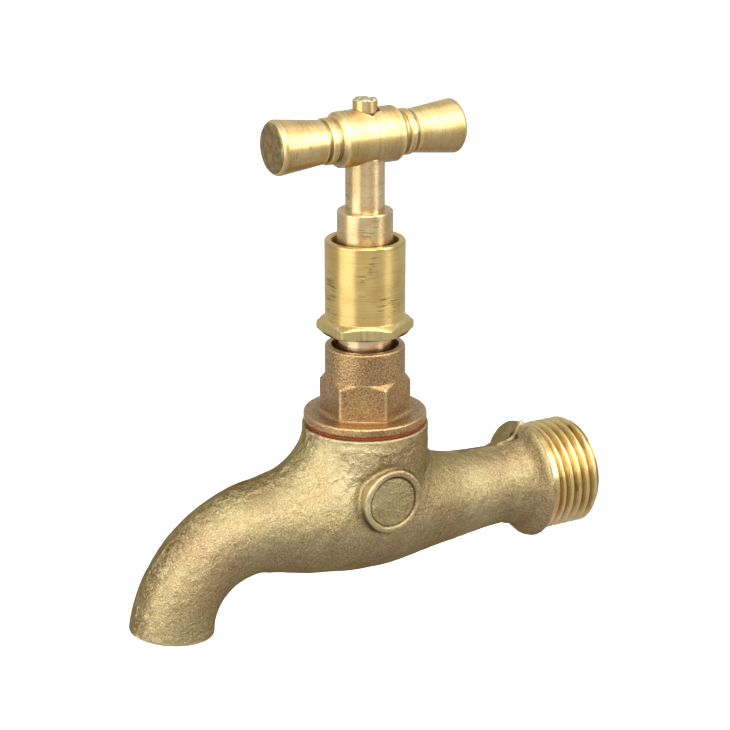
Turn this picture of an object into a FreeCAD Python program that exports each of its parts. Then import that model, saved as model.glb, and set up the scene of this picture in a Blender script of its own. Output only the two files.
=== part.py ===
import FreeCAD, Part
import math
import os

import Sketcher
from FreeCAD import Placement, Rotation, Vector

# A brass garden tap with a rising spindle. The origin is on the axis of the inlet thread, in the
# plane of the shoulder behind it. +X points along the inlet to the wall, -X to the spout, -Y is
# the side with the round pad, and +Z is up. All lengths are in millimetres and angles in degrees.

SIZES = {
    # Inlet: G 1/2 male thread, a short plain land behind it, and the cast flange
    "inlet_reach": 35.4,
    "inlet_bore_radius": 7.0,
    "thread_radius": 10.4775,
    "thread_depth": 1.162,
    "thread_pitch": 1.814,
    "thread_crest": 0.34,
    "thread_root_flat": 0.12,
    "thread_length": 9.8,
    "thread_lead": 1.1,
    "ridge_sink": 0.1,
    "ridge_crest_drop": 0.03,
    "ridge_start": 1.36,
    "ridge_end": 0.82,
    "land_length": 1.8,
    "inlet_rim_radius": 11.5,
    "inlet_rim_width": 0.5,
    "inlet_flare_length": 3.2,
    "flare_knee_length": 1.45,
    "flare_knee_rise": 1.15,
    # Casting: the round sections of the spout, the belly and the inlet neck
    "spout_axis_rise": 2.0,
    "spout_bend_start": 22.2,
    "spout_bend_radius": 18.3,
    "spout_bend_angle": 85.0,
    "spout_root_radius": 8.9,
    "spout_upper_radius": 8.1,
    "spout_middle_radius": 7.65,
    "spout_lower_radius": 7.6,
    "spout_mouth_radius": 7.85,
    "spout_wall": 2.0,
    "back_offset": 13.5,
    "back_radius": 10.5,
    "back_rise": 1.8,
    "belly_offset": 1.0,
    "belly_radius": 11.4,
    "belly_rise": 1.2,
    "front_offset": 11.0,
    "front_radius": 9.9,
    "front_rise": 0.7,
    "taper_offset": 18.5,
    "taper_radius": 8.5,
    "inlet_neck_offset": 25.0,
    "inlet_neck_radius": 7.85,
    # Casting: the upright neck and the saddle that blends it into the belly
    "body_top_height": 18.4,
    "body_neck_radius": 11.8,
    "saddle_top_height": 16.2,
    "saddle_waist_height": 13.0,
    "saddle_foot_height": 9.6,
    "saddle_root_height": 3.0,
    "saddle_waist_spread": 1.5,
    "saddle_foot_spread": 4.6,
    "saddle_inset": 0.03,
    # Casting: the round pad on the near side
    "pad_radius": 6.1,
    "pad_offset": 1.1,
    "pad_height": 6.7,
    "pad_rise": 0.9,
    "pad_depth": 3.5,
    "pad_rim": 1.1,
    "pad_recess": 0.45,
    # Casting: the valve chamber, the seat and the passages
    "chamber_radius": 8.2,
    "chamber_floor_height": 1.0,
    "chamber_thread_depth": 8.0,
    "seat_bore_radius": 4.5,
    "seat_lip_width": 1.7,
    "seat_lip_rise": 1.0,
    "passage_radius": 4.2,
    "passage_drop": 4.9,
    "passage_start": 8.4,
    "passage_end": 17.2,
    "passage_reach": 4.2,
    "outlet_chamber_radius": 6.6,
    "outlet_chamber_offset": 7.0,
    # Bonnet and its washer
    "washer_thickness": 0.6,
    "washer_inset": 0.05,
    "flange_radius": 11.4,
    "flange_thickness": 1.7,
    "flange_chamfer": 0.25,
    "bonnet_hex_flats": 14.7,
    "bonnet_hex_height": 6.8,
    "bonnet_hex_chamfer": 1.0,
    "bonnet_hex_turn": 57.0,
    "bonnet_neck_radius": 7.4,
    "bonnet_height": 14.45,
    "bonnet_rim_chamfer": 0.25,
    "bonnet_mouth_radius": 6.2,
    "bonnet_mouth_depth": 2.6,
    "bonnet_screw_radius": 8.4,
    "bonnet_screw_length": 6.0,
    "bonnet_screw_chamfer": 0.6,
    "bonnet_web_thickness": 1.0,
    "gland_bore_radius": 5.0,
    "gland_bore_depth": 9.8,
    # Gland nut and packing
    "gland_neck_length": 8.6,
    "gland_gap": 2.8,
    "gland_hex_flats": 15.6,
    "gland_hex_height": 2.5,
    "gland_hex_chamfer": 0.9,
    "gland_hex_underside": 0.35,
    "gland_hex_turn": 2.0,
    "sleeve_radius": 7.36,
    "sleeve_bore_radius": 6.07,
    "sleeve_length": 14.55,
    "sleeve_chamfer": 0.25,
    "sleeve_floor": 1.2,
    "packing_thickness": 1.6,
    "packing_edge": 0.25,
    "gland_washer_thickness": 0.8,
    # Spindle
    "spindle_radius": 3.58,
    "spindle_chamfer": 0.3,
    "collar_radius": 5.1,
    "collar_chamfer": 0.5,
    "collar_length": 12.0,
    "collar_stand": 5.4,
    "shaft_above_collar": 9.8,
    "shaft_in_handle": 1.55,
    "tenon_radius": 2.25,
    "tenon_stand": 1.95,
    "tenon_chamfer": 0.4,
    "spindle_thread_radius": 4.8,
    "spindle_thread_length": 10.7,
    "spindle_thread_chamfer": 0.6,
    "lift_room": 3.1,
    "stem_bore_depth": 7.0,
    # Crutch handle
    "handle_length": 37.8,
    "handle_hub_radius": 5.05,
    "handle_hub_length": 13.0,
    "handle_hub_chamfer": 0.8,
    "handle_neck_radius": 3.8,
    "handle_neck_width": 1.1,
    "handle_bead_radius": 4.2,
    "handle_bead_width": 1.4,
    "handle_bead_chamfer": 0.3,
    "handle_groove_width": 0.6,
    "handle_cone_radius": 3.95,
    "handle_end_radius": 5.0,
    "handle_end_chamfer": 0.8,
    # Jumper valve
    "jumper_plate_radius": 6.3,
    "jumper_plate_thickness": 1.8,
    "jumper_plate_chamfer": 0.3,
    "jumper_stem_radius": 1.75,
    "jumper_stem_length": 6.2,
    "jumper_stem_chamfer": 0.3,
    "jumper_stud_radius": 1.5,
    "jumper_stud_length": 4.7,
    "seat_washer_radius": 6.1,
    "seat_washer_thickness": 2.5,
    "seat_washer_edge": 0.3,
    "keep_washer_radius": 3.4,
    "keep_washer_thickness": 0.5,
    "jumper_nut_flats": 5.5,
    "jumper_nut_height": 1.6,
    "jumper_nut_chamfer": 0.3,
    # How far a cut runs past the face that it opens
    "cut_over": 1.0,
    # Fits: a screwed or pressed pair, a pair that turns, and flat faces that turn on each other
    "screwed_gap": 0.05,
    "turning_gap": 0.08,
    "face_gap": 0.05,
}


class Size:
    """A cell of the sheet, or a formula of cells, written as an expression of the document."""

    def __init__(self, text):
        self.text = text

    def __add__(self, other):
        return Size(f"({self.text} + {text_of(other)})")

    def __sub__(self, other):
        return Size(f"({self.text} - {text_of(other)})")

    def __mul__(self, other):
        return Size(f"({self.text} * {text_of(other)})")

    def __truediv__(self, other):
        return Size(f"({self.text} / {text_of(other)})")

    def __neg__(self):
        return Size(f"(-1 * {self.text})")


def text_of(value):
    return value.text if isinstance(value, Size) else str(value)


def sine(angle):
    return Size(f"sin({angle.text})")


def cosine(angle):
    return Size(f"cos({angle.text})")


class Cells:
    """Gives each size of the sheet by its name."""

    def __getattr__(self, name):
        if name not in SIZES:
            raise AttributeError(name)
        return Size(f"Sizes.{name}")


S = Cells()
doc = FreeCAD.newDocument("brass_tap")
sheet = doc.addObject("Spreadsheet::Sheet", "Sizes")
for row, (alias, value) in enumerate(SIZES.items(), start=1):
    sheet.set(f"A{row}", alias)
    sheet.set(f"B{row}", str(value))
    sheet.setAlias(f"B{row}", alias)
doc.recompute()


# Heights above the inlet axis and distances along it, measured from the spindle's axis

WASHER_TOP = S.body_top_height + S.washer_thickness
FLANGE_TOP = WASHER_TOP + S.flange_thickness
BONNET_HEX_TOP = FLANGE_TOP + S.bonnet_hex_height
BONNET_TOP = WASHER_TOP + S.bonnet_height
BONNET_FOOT = WASHER_TOP - S.bonnet_screw_length
PACKING_FLOOR = BONNET_TOP - S.gland_bore_depth
WEB_UNDERSIDE = PACKING_FLOOR - S.bonnet_web_thickness
GLAND_HEX_FOOT = BONNET_TOP + S.gland_gap
GLAND_HEX_TOP = GLAND_HEX_FOOT + S.gland_hex_height
SLEEVE_TOP = GLAND_HEX_TOP + S.sleeve_length
SLEEVE_FLOOR = GLAND_HEX_TOP + S.sleeve_floor
GLAND_FOOT = GLAND_HEX_FOOT - S.gland_neck_length
GLAND_WASHER_FOOT = GLAND_FOOT - S.gland_washer_thickness
COLLAR_TOP = SLEEVE_TOP + S.collar_stand
HANDLE_SEAT = COLLAR_TOP + S.shaft_above_collar
HANDLE_SEAT_DROP = S.handle_hub_radius - S.shaft_in_handle
HANDLE_AXIS = HANDLE_SEAT + HANDLE_SEAT_DROP
TENON_TOP = HANDLE_AXIS + S.handle_hub_radius + S.tenon_stand
SPINDLE_THREAD_TOP = WEB_UNDERSIDE - S.lift_room
SPINDLE_FOOT = SPINDLE_THREAD_TOP - S.spindle_thread_length
PLATE_TOP = SPINDLE_FOOT - S.face_gap
PLATE_FOOT = PLATE_TOP - S.jumper_plate_thickness
SEAT_WASHER_FOOT = PLATE_FOOT - S.seat_washer_thickness
KEEP_WASHER_FOOT = SEAT_WASHER_FOOT - S.keep_washer_thickness
THREAD_START = S.inlet_reach + S.land_length
INLET_END = THREAD_START + S.thread_length
SHAFT_HOLE_RADIUS = S.spindle_radius + S.turning_gap


def number(value):
    """The value of an expression now, for a sketch's first geometry."""
    return float(sheet.evalExpression(text_of(value)))


def new_body(name, rise=None):
    """An empty body on the spindle's axis, whose label names the sub-part."""
    body = doc.addObject("PartDesign::Body", name)
    body.Label = name
    body.setExpression("Placement.Base.x", text_of(-S.inlet_reach))
    if rise is not None:
        body.setExpression("Placement.Base.z", text_of(rise))
    return body


def new_sketch(body, name, role, shift=None, rise=None, turn=None, axis=Vector(0, 0, 1)):
    """A sketch on an origin plane of its body, moved off it by shift and turned about axis."""
    sketch = body.newObject("Sketcher::SketchObject", f"{body.Name}_{name}")
    plane = next(o for o in body.Origin.OriginFeatures if o.Role == role)
    sketch.AttachmentSupport = [(plane, "")]
    sketch.MapMode = "FlatFace"
    if turn is not None:
        sketch.AttachmentOffset = Placement(Vector(), Rotation(axis, 1.0))
        sketch.setExpression("AttachmentOffset.Rotation.Angle", text_of(turn))
    if shift is not None:
        sketch.setExpression("AttachmentOffset.Base.z", text_of(shift))
    if rise is not None:
        sketch.setExpression("AttachmentOffset.Base.y", text_of(rise))
    return sketch


def bind(sketch, *constraint, to):
    """Adds a constraint whose value is an expression."""
    index = sketch.addConstraint(Sketcher.Constraint(*constraint, number(to)))
    sketch.setExpression(f"Constraints[{index}]", text_of(to))


def place_point(sketch, geometry, point, across, up):
    """Holds a point of a sketch at its two distances from the sketch's origin."""
    if across == 0:
        sketch.addConstraint(Sketcher.Constraint("PointOnObject", geometry, point, -2))
    else:
        bind(sketch, "DistanceX", -1, 1, geometry, point, to=across)
    if up == 0:
        sketch.addConstraint(Sketcher.Constraint("PointOnObject", geometry, point, -1))
    else:
        bind(sketch, "DistanceY", -1, 1, geometry, point, to=up)


def outline(sketch, points):
    """A closed outline of straight lines through points, each a pair of sizes."""
    corners = [Vector(number(across), number(up), 0) for across, up in points]
    count = len(points)
    for i, corner in enumerate(corners):
        sketch.addGeometry(Part.LineSegment(corner, corners[(i + 1) % count]), False)
    for i in range(count):
        sketch.addConstraint(Sketcher.Constraint("Coincident", i, 2, (i + 1) % count, 1))
    for i, (across, up) in enumerate(points):
        place_point(sketch, i, 1, across, up)
    return sketch


def circle(sketch, radius, across=0, up=0):
    """A circle in a sketch."""
    centre = Vector(number(across), number(up), 0)
    sketch.addGeometry(Part.Circle(centre, Vector(0, 0, 1), number(radius)), False)
    bind(sketch, "Radius", 0, to=radius)
    place_point(sketch, 0, 3, across, up)
    return sketch


def ellipse(sketch, half_width, half_depth):
    """An ellipse round the sketch's origin, its longer half along the sketch's X."""
    wide, deep = number(half_width), number(half_depth)
    shape = Part.Ellipse(Vector(wide, 0, 0), Vector(0, deep, 0), Vector(0, 0, 0))
    sketch.addGeometry(shape, False)
    sketch.exposeInternalGeometry(0)
    sketch.addConstraint(Sketcher.Constraint("Coincident", 0, 3, -1, 1))
    sketch.addConstraint(Sketcher.Constraint("Horizontal", 1))
    bind(sketch, "Distance", 1, to=half_width * 2)
    bind(sketch, "Distance", 2, to=half_depth * 2)
    return sketch


def spin(body, name, points, cut=False, role="XZ_Plane", axis="V_Axis"):
    """Adds, or cuts, the outline turned once round an axis of its sketch."""
    sketch = outline(new_sketch(body, f"{name}_outline", role), points)
    kind = "PartDesign::Groove" if cut else "PartDesign::Revolution"
    feature = body.newObject(kind, f"{body.Name}_{name}")
    feature.Profile = sketch
    feature.ReferenceAxis = (sketch, [axis])
    feature.Angle = 360
    return feature


def loft(body, name, sections, cut=False):
    """Adds, or cuts, a smooth loft through the sections."""
    kind = "PartDesign::SubtractiveLoft" if cut else "PartDesign::AdditiveLoft"
    feature = body.newObject(kind, f"{body.Name}_{name}")
    feature.Profile = sections[0]
    feature.Sections = sections[1:]
    return feature


def cut_down(body, name, sketch, depth):
    """Cuts a sketch's outline to a depth behind its plane."""
    feature = body.newObject("PartDesign::Pocket", f"{body.Name}_{name}")
    feature.Profile = sketch
    feature.setExpression("Length", text_of(depth))
    return feature


def cut_flats(body, name, flats, top, height, turn=None):
    """Cuts six flats round the body's axis, from top down by height."""
    sketch = new_sketch(body, f"{name}_flat", "XY_Plane", shift=top, turn=turn)
    half, reach = flats / 2, flats
    outline(sketch, [(half, -half), (reach, -half), (reach, half), (half, half)])
    flat = cut_down(body, f"{name}_flat_cut", sketch, height)
    pattern = body.newObject("PartDesign::PolarPattern", f"{body.Name}_{name}_flats")
    pattern.Originals = [flat]
    pattern.Axis = (sketch, ["N_Axis"])
    pattern.Angle = 360
    pattern.Occurrences = 6
    body.Tip = pattern
    return pattern


def spout_sections(body, name, inset):
    """The round sections of the spout from its mouth back to where it runs straight."""
    radii = [
        S.spout_mouth_radius,
        S.spout_lower_radius,
        S.spout_middle_radius,
        S.spout_upper_radius,
        S.spout_root_radius,
    ]
    steps = len(radii) - 1
    sections = []
    for i, radius in enumerate(radii):
        angle = S.spout_bend_angle * (steps - i) / steps
        sketch = new_sketch(
            body,
            f"{name}_{i}",
            "YZ_Plane",
            shift=-(S.spout_bend_start + S.spout_bend_radius * sine(angle)),
            rise=S.spout_axis_rise - S.spout_bend_radius + S.spout_bend_radius * cosine(angle),
            turn=-angle,
            axis=Vector(1, 0, 0),
        )
        sections.append(circle(sketch, radius - inset))
    return sections


def run_section(body, name, offset, rise, radius):
    """A round upright section across the run of the casting."""
    return circle(new_sketch(body, name, "YZ_Plane", shift=offset, rise=rise), radius)


def tap_body():
    """The casting: spout, belly, upright neck, inlet neck with its thread, and valve seat."""
    body = new_body("tap_body")
    loft(body, "spout", spout_sections(body, "spout", 0))
    root = (-S.spout_bend_start, S.spout_axis_rise, S.spout_root_radius)
    back = (-S.back_offset, S.back_rise, S.back_radius)
    belly = (S.belly_offset, S.belly_rise, S.belly_radius)
    front = (S.front_offset, S.front_rise, S.front_radius)
    taper = (S.taper_offset, 0, S.taper_radius)
    neck = (S.inlet_neck_offset, 0, S.inlet_neck_radius)
    places = [root, back, belly, front, taper, neck]
    loft(body, "run", [run_section(body, f"run_{i}", *place) for i, place in enumerate(places)])
    spin(
        body,
        "upright_neck",
        [
            (0, 0),
            (S.body_neck_radius, 0),
            (S.body_neck_radius, S.body_top_height),
            (0, S.body_top_height),
        ],
    )
    saddle(body)
    inlet(body)
    pad(body)
    waterway(body)
    return body


def saddle(body):
    """The blend from the upright neck out to the top of the belly, along the run."""
    levels = [
        (S.saddle_top_height, Size("0")),
        (S.saddle_waist_height, S.saddle_waist_spread),
        (S.saddle_foot_height, S.saddle_foot_spread),
        (S.saddle_root_height, Size("0")),
    ]
    sections = []
    for i, (height, spread) in enumerate(levels):
        sketch = new_sketch(body, f"saddle_{i}", "XY_Plane", shift=height)
        round_radius = S.body_neck_radius - S.saddle_inset
        sections.append(ellipse(sketch, round_radius + spread, round_radius - spread / 2))
    loft(body, "saddle", sections)


def inlet(body):
    """The inlet neck's end: flared flange, plain land and right-hand male thread."""
    flare_start = S.inlet_reach - S.inlet_rim_width - S.inlet_flare_length
    core = S.thread_radius - S.thread_depth
    start = S.inlet_neck_offset
    spin(
        body,
        "inlet_end",
        [
            (start, 0),
            (INLET_END, 0),
            (INLET_END, core),
            (THREAD_START, core),
            (THREAD_START, S.thread_radius),
            (S.inlet_reach, S.thread_radius),
            (S.inlet_reach, S.inlet_rim_radius),
            (S.inlet_reach - S.inlet_rim_width, S.inlet_rim_radius),
            (flare_start + S.flare_knee_length, S.inlet_neck_radius + S.flare_knee_rise),
            (flare_start, S.inlet_neck_radius),
            (start, S.inlet_neck_radius),
        ],
        axis="H_Axis",
    )
    ridge(body, core)
    over = S.thread_radius + S.cut_over
    spin(
        body,
        "thread_lead",
        [
            (INLET_END, 0),
            (INLET_END + S.thread_pitch * 2, 0),
            (INLET_END + S.thread_pitch * 2, over),
            (INLET_END - S.thread_lead - over + S.thread_radius, over),
            (INLET_END, S.thread_radius - S.thread_lead),
        ],
        cut=True,
        axis="H_Axis",
    )


def ridge(body, core):
    """The thread's ridge, wound from inside the land to past the inlet's end."""
    foot_half = (S.thread_pitch - S.thread_root_flat) / 2
    middle = THREAD_START - S.ridge_start
    foot = core - S.ridge_sink
    crest = S.thread_radius - S.ridge_crest_drop
    sketch = new_sketch(body, "ridge_outline", "XZ_Plane")
    outline(
        sketch,
        [
            (middle - foot_half, foot),
            (middle + foot_half, foot),
            (middle + S.thread_crest / 2, crest),
            (middle - S.thread_crest / 2, crest),
        ],
    )
    feature = body.newObject("PartDesign::AdditiveHelix", "tap_body_thread")
    feature.Profile = sketch
    feature.ReferenceAxis = (sketch, ["H_Axis"])
    feature.Mode = "pitch-height-angle"
    feature.setExpression("Pitch", text_of(S.thread_pitch))
    feature.setExpression("Height", text_of(S.thread_length + S.ridge_start + S.ridge_end))
    return feature


def pad(body):
    """The raised round pad with a rim and a bare, sunk middle."""
    face = S.body_neck_radius + S.pad_rise
    root = face - S.pad_depth
    disc = new_sketch(body, "pad_outline", "XZ_Plane", shift=root)
    circle(disc, S.pad_radius, -S.pad_offset, S.pad_height)
    boss = body.newObject("PartDesign::Pad", "tap_body_pad")
    boss.Profile = disc
    boss.setExpression("Length", text_of(S.pad_depth))
    middle = new_sketch(body, "pad_middle", "XZ_Plane", shift=face)
    circle(middle, S.pad_radius - S.pad_rim, -S.pad_offset, S.pad_height)
    cut_down(body, "pad_recess", middle, S.pad_recess)


def waterway(body):
    """The valve chamber with its seat, the inlet passage under it and the spout's bore."""
    seat_top = S.chamber_floor_height + S.seat_lip_rise
    lip = S.seat_bore_radius + S.seat_lip_width
    screw = S.bonnet_screw_radius + S.screwed_gap
    screw_foot = S.body_top_height - S.chamber_thread_depth
    spin(
        body,
        "chamber",
        [
            (0, -S.passage_drop),
            (S.seat_bore_radius, -S.passage_drop),
            (S.seat_bore_radius, seat_top),
            (lip, seat_top),
            (lip, S.chamber_floor_height),
            (S.chamber_radius, S.chamber_floor_height),
            (S.chamber_radius, screw_foot),
            (screw, screw_foot),
            (screw, S.body_top_height + S.cut_over),
            (0, S.body_top_height + S.cut_over),
        ],
        cut=True,
    )
    spin(
        body,
        "inlet_bore",
        [
            (S.passage_end, 0),
            (INLET_END + S.cut_over, 0),
            (INLET_END + S.cut_over, S.inlet_bore_radius),
            (S.passage_end, S.inlet_bore_radius),
        ],
        cut=True,
        axis="H_Axis",
    )
    wide = run_section(body, "passage_wide", S.passage_end, 0, S.inlet_bore_radius)
    narrow = run_section(body, "passage_narrow", S.passage_start, -S.passage_drop, S.passage_radius)
    loft(body, "passage", [wide, narrow], cut=True)
    floor = run_section(body, "passage_floor", S.passage_start, -S.passage_drop, S.passage_radius)
    cut_down(body, "passage_run", floor, S.passage_start + S.passage_reach)
    loft(body, "spout_bore", spout_sections(body, "bore", S.spout_wall), cut=True)
    root = (-S.spout_bend_start, S.spout_axis_rise, S.spout_root_radius - S.spout_wall)
    chamber = (-S.outlet_chamber_offset, S.spout_axis_rise, S.outlet_chamber_radius)
    places = [root, chamber]
    ends = [run_section(body, f"outlet_{i}", *place) for i, place in enumerate(places)]
    loft(body, "outlet_passage", ends, cut=True)


def bonnet_washer():
    """The fibre washer between the casting and the bonnet."""
    body = new_body("bonnet_washer")
    inner = S.bonnet_screw_radius + S.screwed_gap
    outer = S.flange_radius - S.washer_inset
    spin(
        body,
        "ring",
        [
            (inner, S.body_top_height),
            (outer, S.body_top_height),
            (outer, WASHER_TOP),
            (inner, WASHER_TOP),
        ],
    )
    return body


def bonnet():
    """The bonnet: flange, hexagon and cylinder in one, open at its top, with a screwed foot."""
    body = new_body("bonnet")
    corner = S.bonnet_hex_flats / math.sqrt(3)
    shaft_hole = SHAFT_HOLE_RADIUS
    spindle_bore = S.spindle_thread_radius + S.turning_gap
    spin(
        body,
        "shell",
        [
            (spindle_bore, BONNET_FOOT),
            (S.bonnet_screw_radius - S.bonnet_screw_chamfer, BONNET_FOOT),
            (S.bonnet_screw_radius, BONNET_FOOT + S.bonnet_screw_chamfer),
            (S.bonnet_screw_radius, WASHER_TOP),
            (S.flange_radius - S.flange_chamfer, WASHER_TOP),
            (S.flange_radius, WASHER_TOP + S.flange_chamfer),
            (S.flange_radius, FLANGE_TOP - S.flange_chamfer),
            (S.flange_radius - S.flange_chamfer, FLANGE_TOP),
            (corner, FLANGE_TOP),
            (corner, BONNET_HEX_TOP - S.bonnet_hex_chamfer),
            (S.bonnet_neck_radius, BONNET_HEX_TOP),
            (S.bonnet_neck_radius, BONNET_TOP - S.bonnet_rim_chamfer),
            (S.bonnet_neck_radius - S.bonnet_rim_chamfer, BONNET_TOP),
            (S.bonnet_mouth_radius, BONNET_TOP),
            (S.bonnet_mouth_radius, BONNET_TOP - S.bonnet_mouth_depth),
            (S.gland_bore_radius, BONNET_TOP - S.bonnet_mouth_depth),
            (S.gland_bore_radius, PACKING_FLOOR),
            (shaft_hole, PACKING_FLOOR),
            (shaft_hole, WEB_UNDERSIDE),
            (spindle_bore, WEB_UNDERSIDE),
        ],
    )
    turn = S.bonnet_hex_turn
    cut_flats(body, "hex", S.bonnet_hex_flats, BONNET_HEX_TOP, S.bonnet_hex_height, turn)
    return body


def gland_nut():
    """The gland nut: a screwed neck, a thin hexagon and a long sleeve open at its top."""
    body = new_body("gland_nut")
    corner = S.gland_hex_flats / math.sqrt(3)
    neck = S.gland_bore_radius - S.screwed_gap
    spin(
        body,
        "shell",
        [
            (SHAFT_HOLE_RADIUS, GLAND_FOOT),
            (neck - S.sleeve_chamfer, GLAND_FOOT),
            (neck, GLAND_FOOT + S.sleeve_chamfer),
            (neck, GLAND_HEX_FOOT),
            (corner - S.gland_hex_underside * 2, GLAND_HEX_FOOT),
            (corner, GLAND_HEX_FOOT + S.gland_hex_underside),
            (corner, GLAND_HEX_TOP - S.gland_hex_chamfer),
            (S.sleeve_radius, GLAND_HEX_TOP),
            (S.sleeve_radius, SLEEVE_TOP - S.sleeve_chamfer),
            (S.sleeve_radius - S.sleeve_chamfer, SLEEVE_TOP),
            (S.sleeve_bore_radius + S.sleeve_chamfer, SLEEVE_TOP),
            (S.sleeve_bore_radius, SLEEVE_TOP - S.sleeve_chamfer),
            (S.sleeve_bore_radius, SLEEVE_FLOOR),
            (SHAFT_HOLE_RADIUS, SLEEVE_FLOOR),
        ],
    )
    turn = S.gland_hex_turn
    cut_flats(body, "hex", S.gland_hex_flats, GLAND_HEX_TOP, S.gland_hex_height, turn)
    return body


def packing_ring(position):
    """One ring of gland packing round the spindle, counted from the bottom."""
    body = new_body(f"packing_ring_{position + 1}")
    foot = PACKING_FLOOR + S.packing_thickness * position
    top = foot + S.packing_thickness
    inner = SHAFT_HOLE_RADIUS
    outer = S.gland_bore_radius - S.screwed_gap
    edge = S.packing_edge
    spin(
        body,
        "ring",
        [
            (inner, foot + edge),
            (inner + edge, foot),
            (outer - edge, foot),
            (outer, foot + edge),
            (outer, top - edge),
            (outer - edge, top),
            (inner + edge, top),
            (inner, top - edge),
        ],
    )
    return body


def gland_washer():
    """The brass washer between the gland nut's neck and the packing."""
    body = new_body("gland_washer")
    inner = SHAFT_HOLE_RADIUS
    outer = S.gland_bore_radius - S.screwed_gap
    spin(
        body,
        "ring",
        [
            (inner, GLAND_WASHER_FOOT),
            (outer, GLAND_WASHER_FOOT),
            (outer, GLAND_FOOT),
            (inner, GLAND_FOOT),
        ],
    )
    return body


def spindle():
    """The spindle: screwed foot with a blind bore, shaft, collar, and the tenon for the handle."""
    body = new_body("spindle")
    collar_foot = COLLAR_TOP - S.collar_length
    stem_bore = S.jumper_stem_radius + S.turning_gap
    bore_top = SPINDLE_FOOT + S.stem_bore_depth
    lead = S.spindle_thread_chamfer
    spin(
        body,
        "shaft",
        [
            (stem_bore, SPINDLE_FOOT),
            (S.spindle_thread_radius - lead, SPINDLE_FOOT),
            (S.spindle_thread_radius, SPINDLE_FOOT + lead),
            (S.spindle_thread_radius, SPINDLE_THREAD_TOP - lead),
            (S.spindle_thread_radius - lead, SPINDLE_THREAD_TOP),
            (S.spindle_radius, SPINDLE_THREAD_TOP),
            (S.spindle_radius, collar_foot),
            (S.collar_radius - S.collar_chamfer, collar_foot),
            (S.collar_radius, collar_foot + S.collar_chamfer),
            (S.collar_radius, COLLAR_TOP - S.collar_chamfer),
            (S.collar_radius - S.collar_chamfer, COLLAR_TOP),
            (S.spindle_radius, COLLAR_TOP),
            (S.spindle_radius, HANDLE_SEAT - S.spindle_chamfer),
            (S.spindle_radius - S.spindle_chamfer, HANDLE_SEAT),
            (S.tenon_radius, HANDLE_SEAT),
            (S.tenon_radius, TENON_TOP - S.tenon_chamfer),
            (S.tenon_radius - S.tenon_chamfer, TENON_TOP),
            (0, TENON_TOP),
            (0, bore_top),
            (stem_bore, bore_top),
        ],
    )
    return body


def handle():
    """The turned crutch handle: a hub with a neck, bead, groove and flared grip each side."""
    body = new_body("handle", rise=HANDLE_AXIS)
    end = S.handle_length / 2
    hub = S.handle_hub_length / 2
    neck = hub + S.handle_neck_width
    bead = neck + S.handle_bead_width
    groove = bead + S.handle_groove_width
    bevel = S.handle_bead_chamfer
    half = [
        (hub - S.handle_hub_chamfer, S.handle_hub_radius),
        (hub, S.handle_hub_radius - S.handle_hub_chamfer),
        (hub, S.handle_neck_radius),
        (neck, S.handle_neck_radius),
        (neck, S.handle_bead_radius - bevel),
        (neck + bevel, S.handle_bead_radius),
        (bead - bevel, S.handle_bead_radius),
        (bead, S.handle_bead_radius - bevel),
        (bead, S.handle_neck_radius),
        (groove, S.handle_neck_radius),
        (groove, S.handle_cone_radius),
        (end - S.handle_end_chamfer, S.handle_end_radius),
        (end, S.handle_end_radius - S.handle_end_chamfer),
        (end, 0),
    ]
    mirrored = [(-across, up) for across, up in reversed(half)]
    spin(body, "bar", mirrored + half, axis="H_Axis")
    hole_top = S.handle_hub_radius + S.cut_over
    hole = new_sketch(body, "tenon_hole", "XY_Plane", shift=hole_top)
    circle(hole, S.tenon_radius + S.screwed_gap)
    cut_down(body, "tenon_hole_cut", hole, hole_top * 2)
    seat = new_sketch(body, "shaft_seat", "XY_Plane", shift=-HANDLE_SEAT_DROP)
    circle(seat, S.spindle_radius + S.screwed_gap)
    cut_down(body, "shaft_seat_cut", seat, S.handle_hub_radius)
    return body


def jumper():
    """The jumper: a plate with a stem above it and a stud below it."""
    body = new_body("jumper")
    stem_top = PLATE_TOP + S.jumper_stem_length
    stud_foot = PLATE_FOOT - S.jumper_stud_length
    rim = S.jumper_plate_radius - S.jumper_plate_chamfer
    spin(
        body,
        "valve",
        [
            (0, stud_foot),
            (S.jumper_stud_radius, stud_foot),
            (S.jumper_stud_radius, PLATE_FOOT),
            (rim, PLATE_FOOT),
            (S.jumper_plate_radius, PLATE_FOOT + S.jumper_plate_chamfer),
            (S.jumper_plate_radius, PLATE_TOP - S.jumper_plate_chamfer),
            (rim, PLATE_TOP),
            (S.jumper_stem_radius, PLATE_TOP),
            (S.jumper_stem_radius, stem_top - S.jumper_stem_chamfer),
            (S.jumper_stem_radius - S.jumper_stem_chamfer, stem_top),
            (0, stem_top),
        ],
    )
    return body


def seat_washer():
    """The rubber washer that closes the seat."""
    body = new_body("seat_washer")
    inner = S.jumper_stud_radius + S.screwed_gap
    edge = S.seat_washer_edge
    spin(
        body,
        "ring",
        [
            (inner, SEAT_WASHER_FOOT),
            (S.seat_washer_radius - edge, SEAT_WASHER_FOOT),
            (S.seat_washer_radius, SEAT_WASHER_FOOT + edge),
            (S.seat_washer_radius, PLATE_FOOT),
            (inner, PLATE_FOOT),
        ],
    )
    return body


def keep_washer():
    """The small brass washer under the rubber one."""
    body = new_body("keep_washer")
    inner = S.jumper_stud_radius + S.screwed_gap
    spin(
        body,
        "ring",
        [
            (inner, KEEP_WASHER_FOOT),
            (S.keep_washer_radius, KEEP_WASHER_FOOT),
            (S.keep_washer_radius, SEAT_WASHER_FOOT),
            (inner, SEAT_WASHER_FOOT),
        ],
    )
    return body


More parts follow.
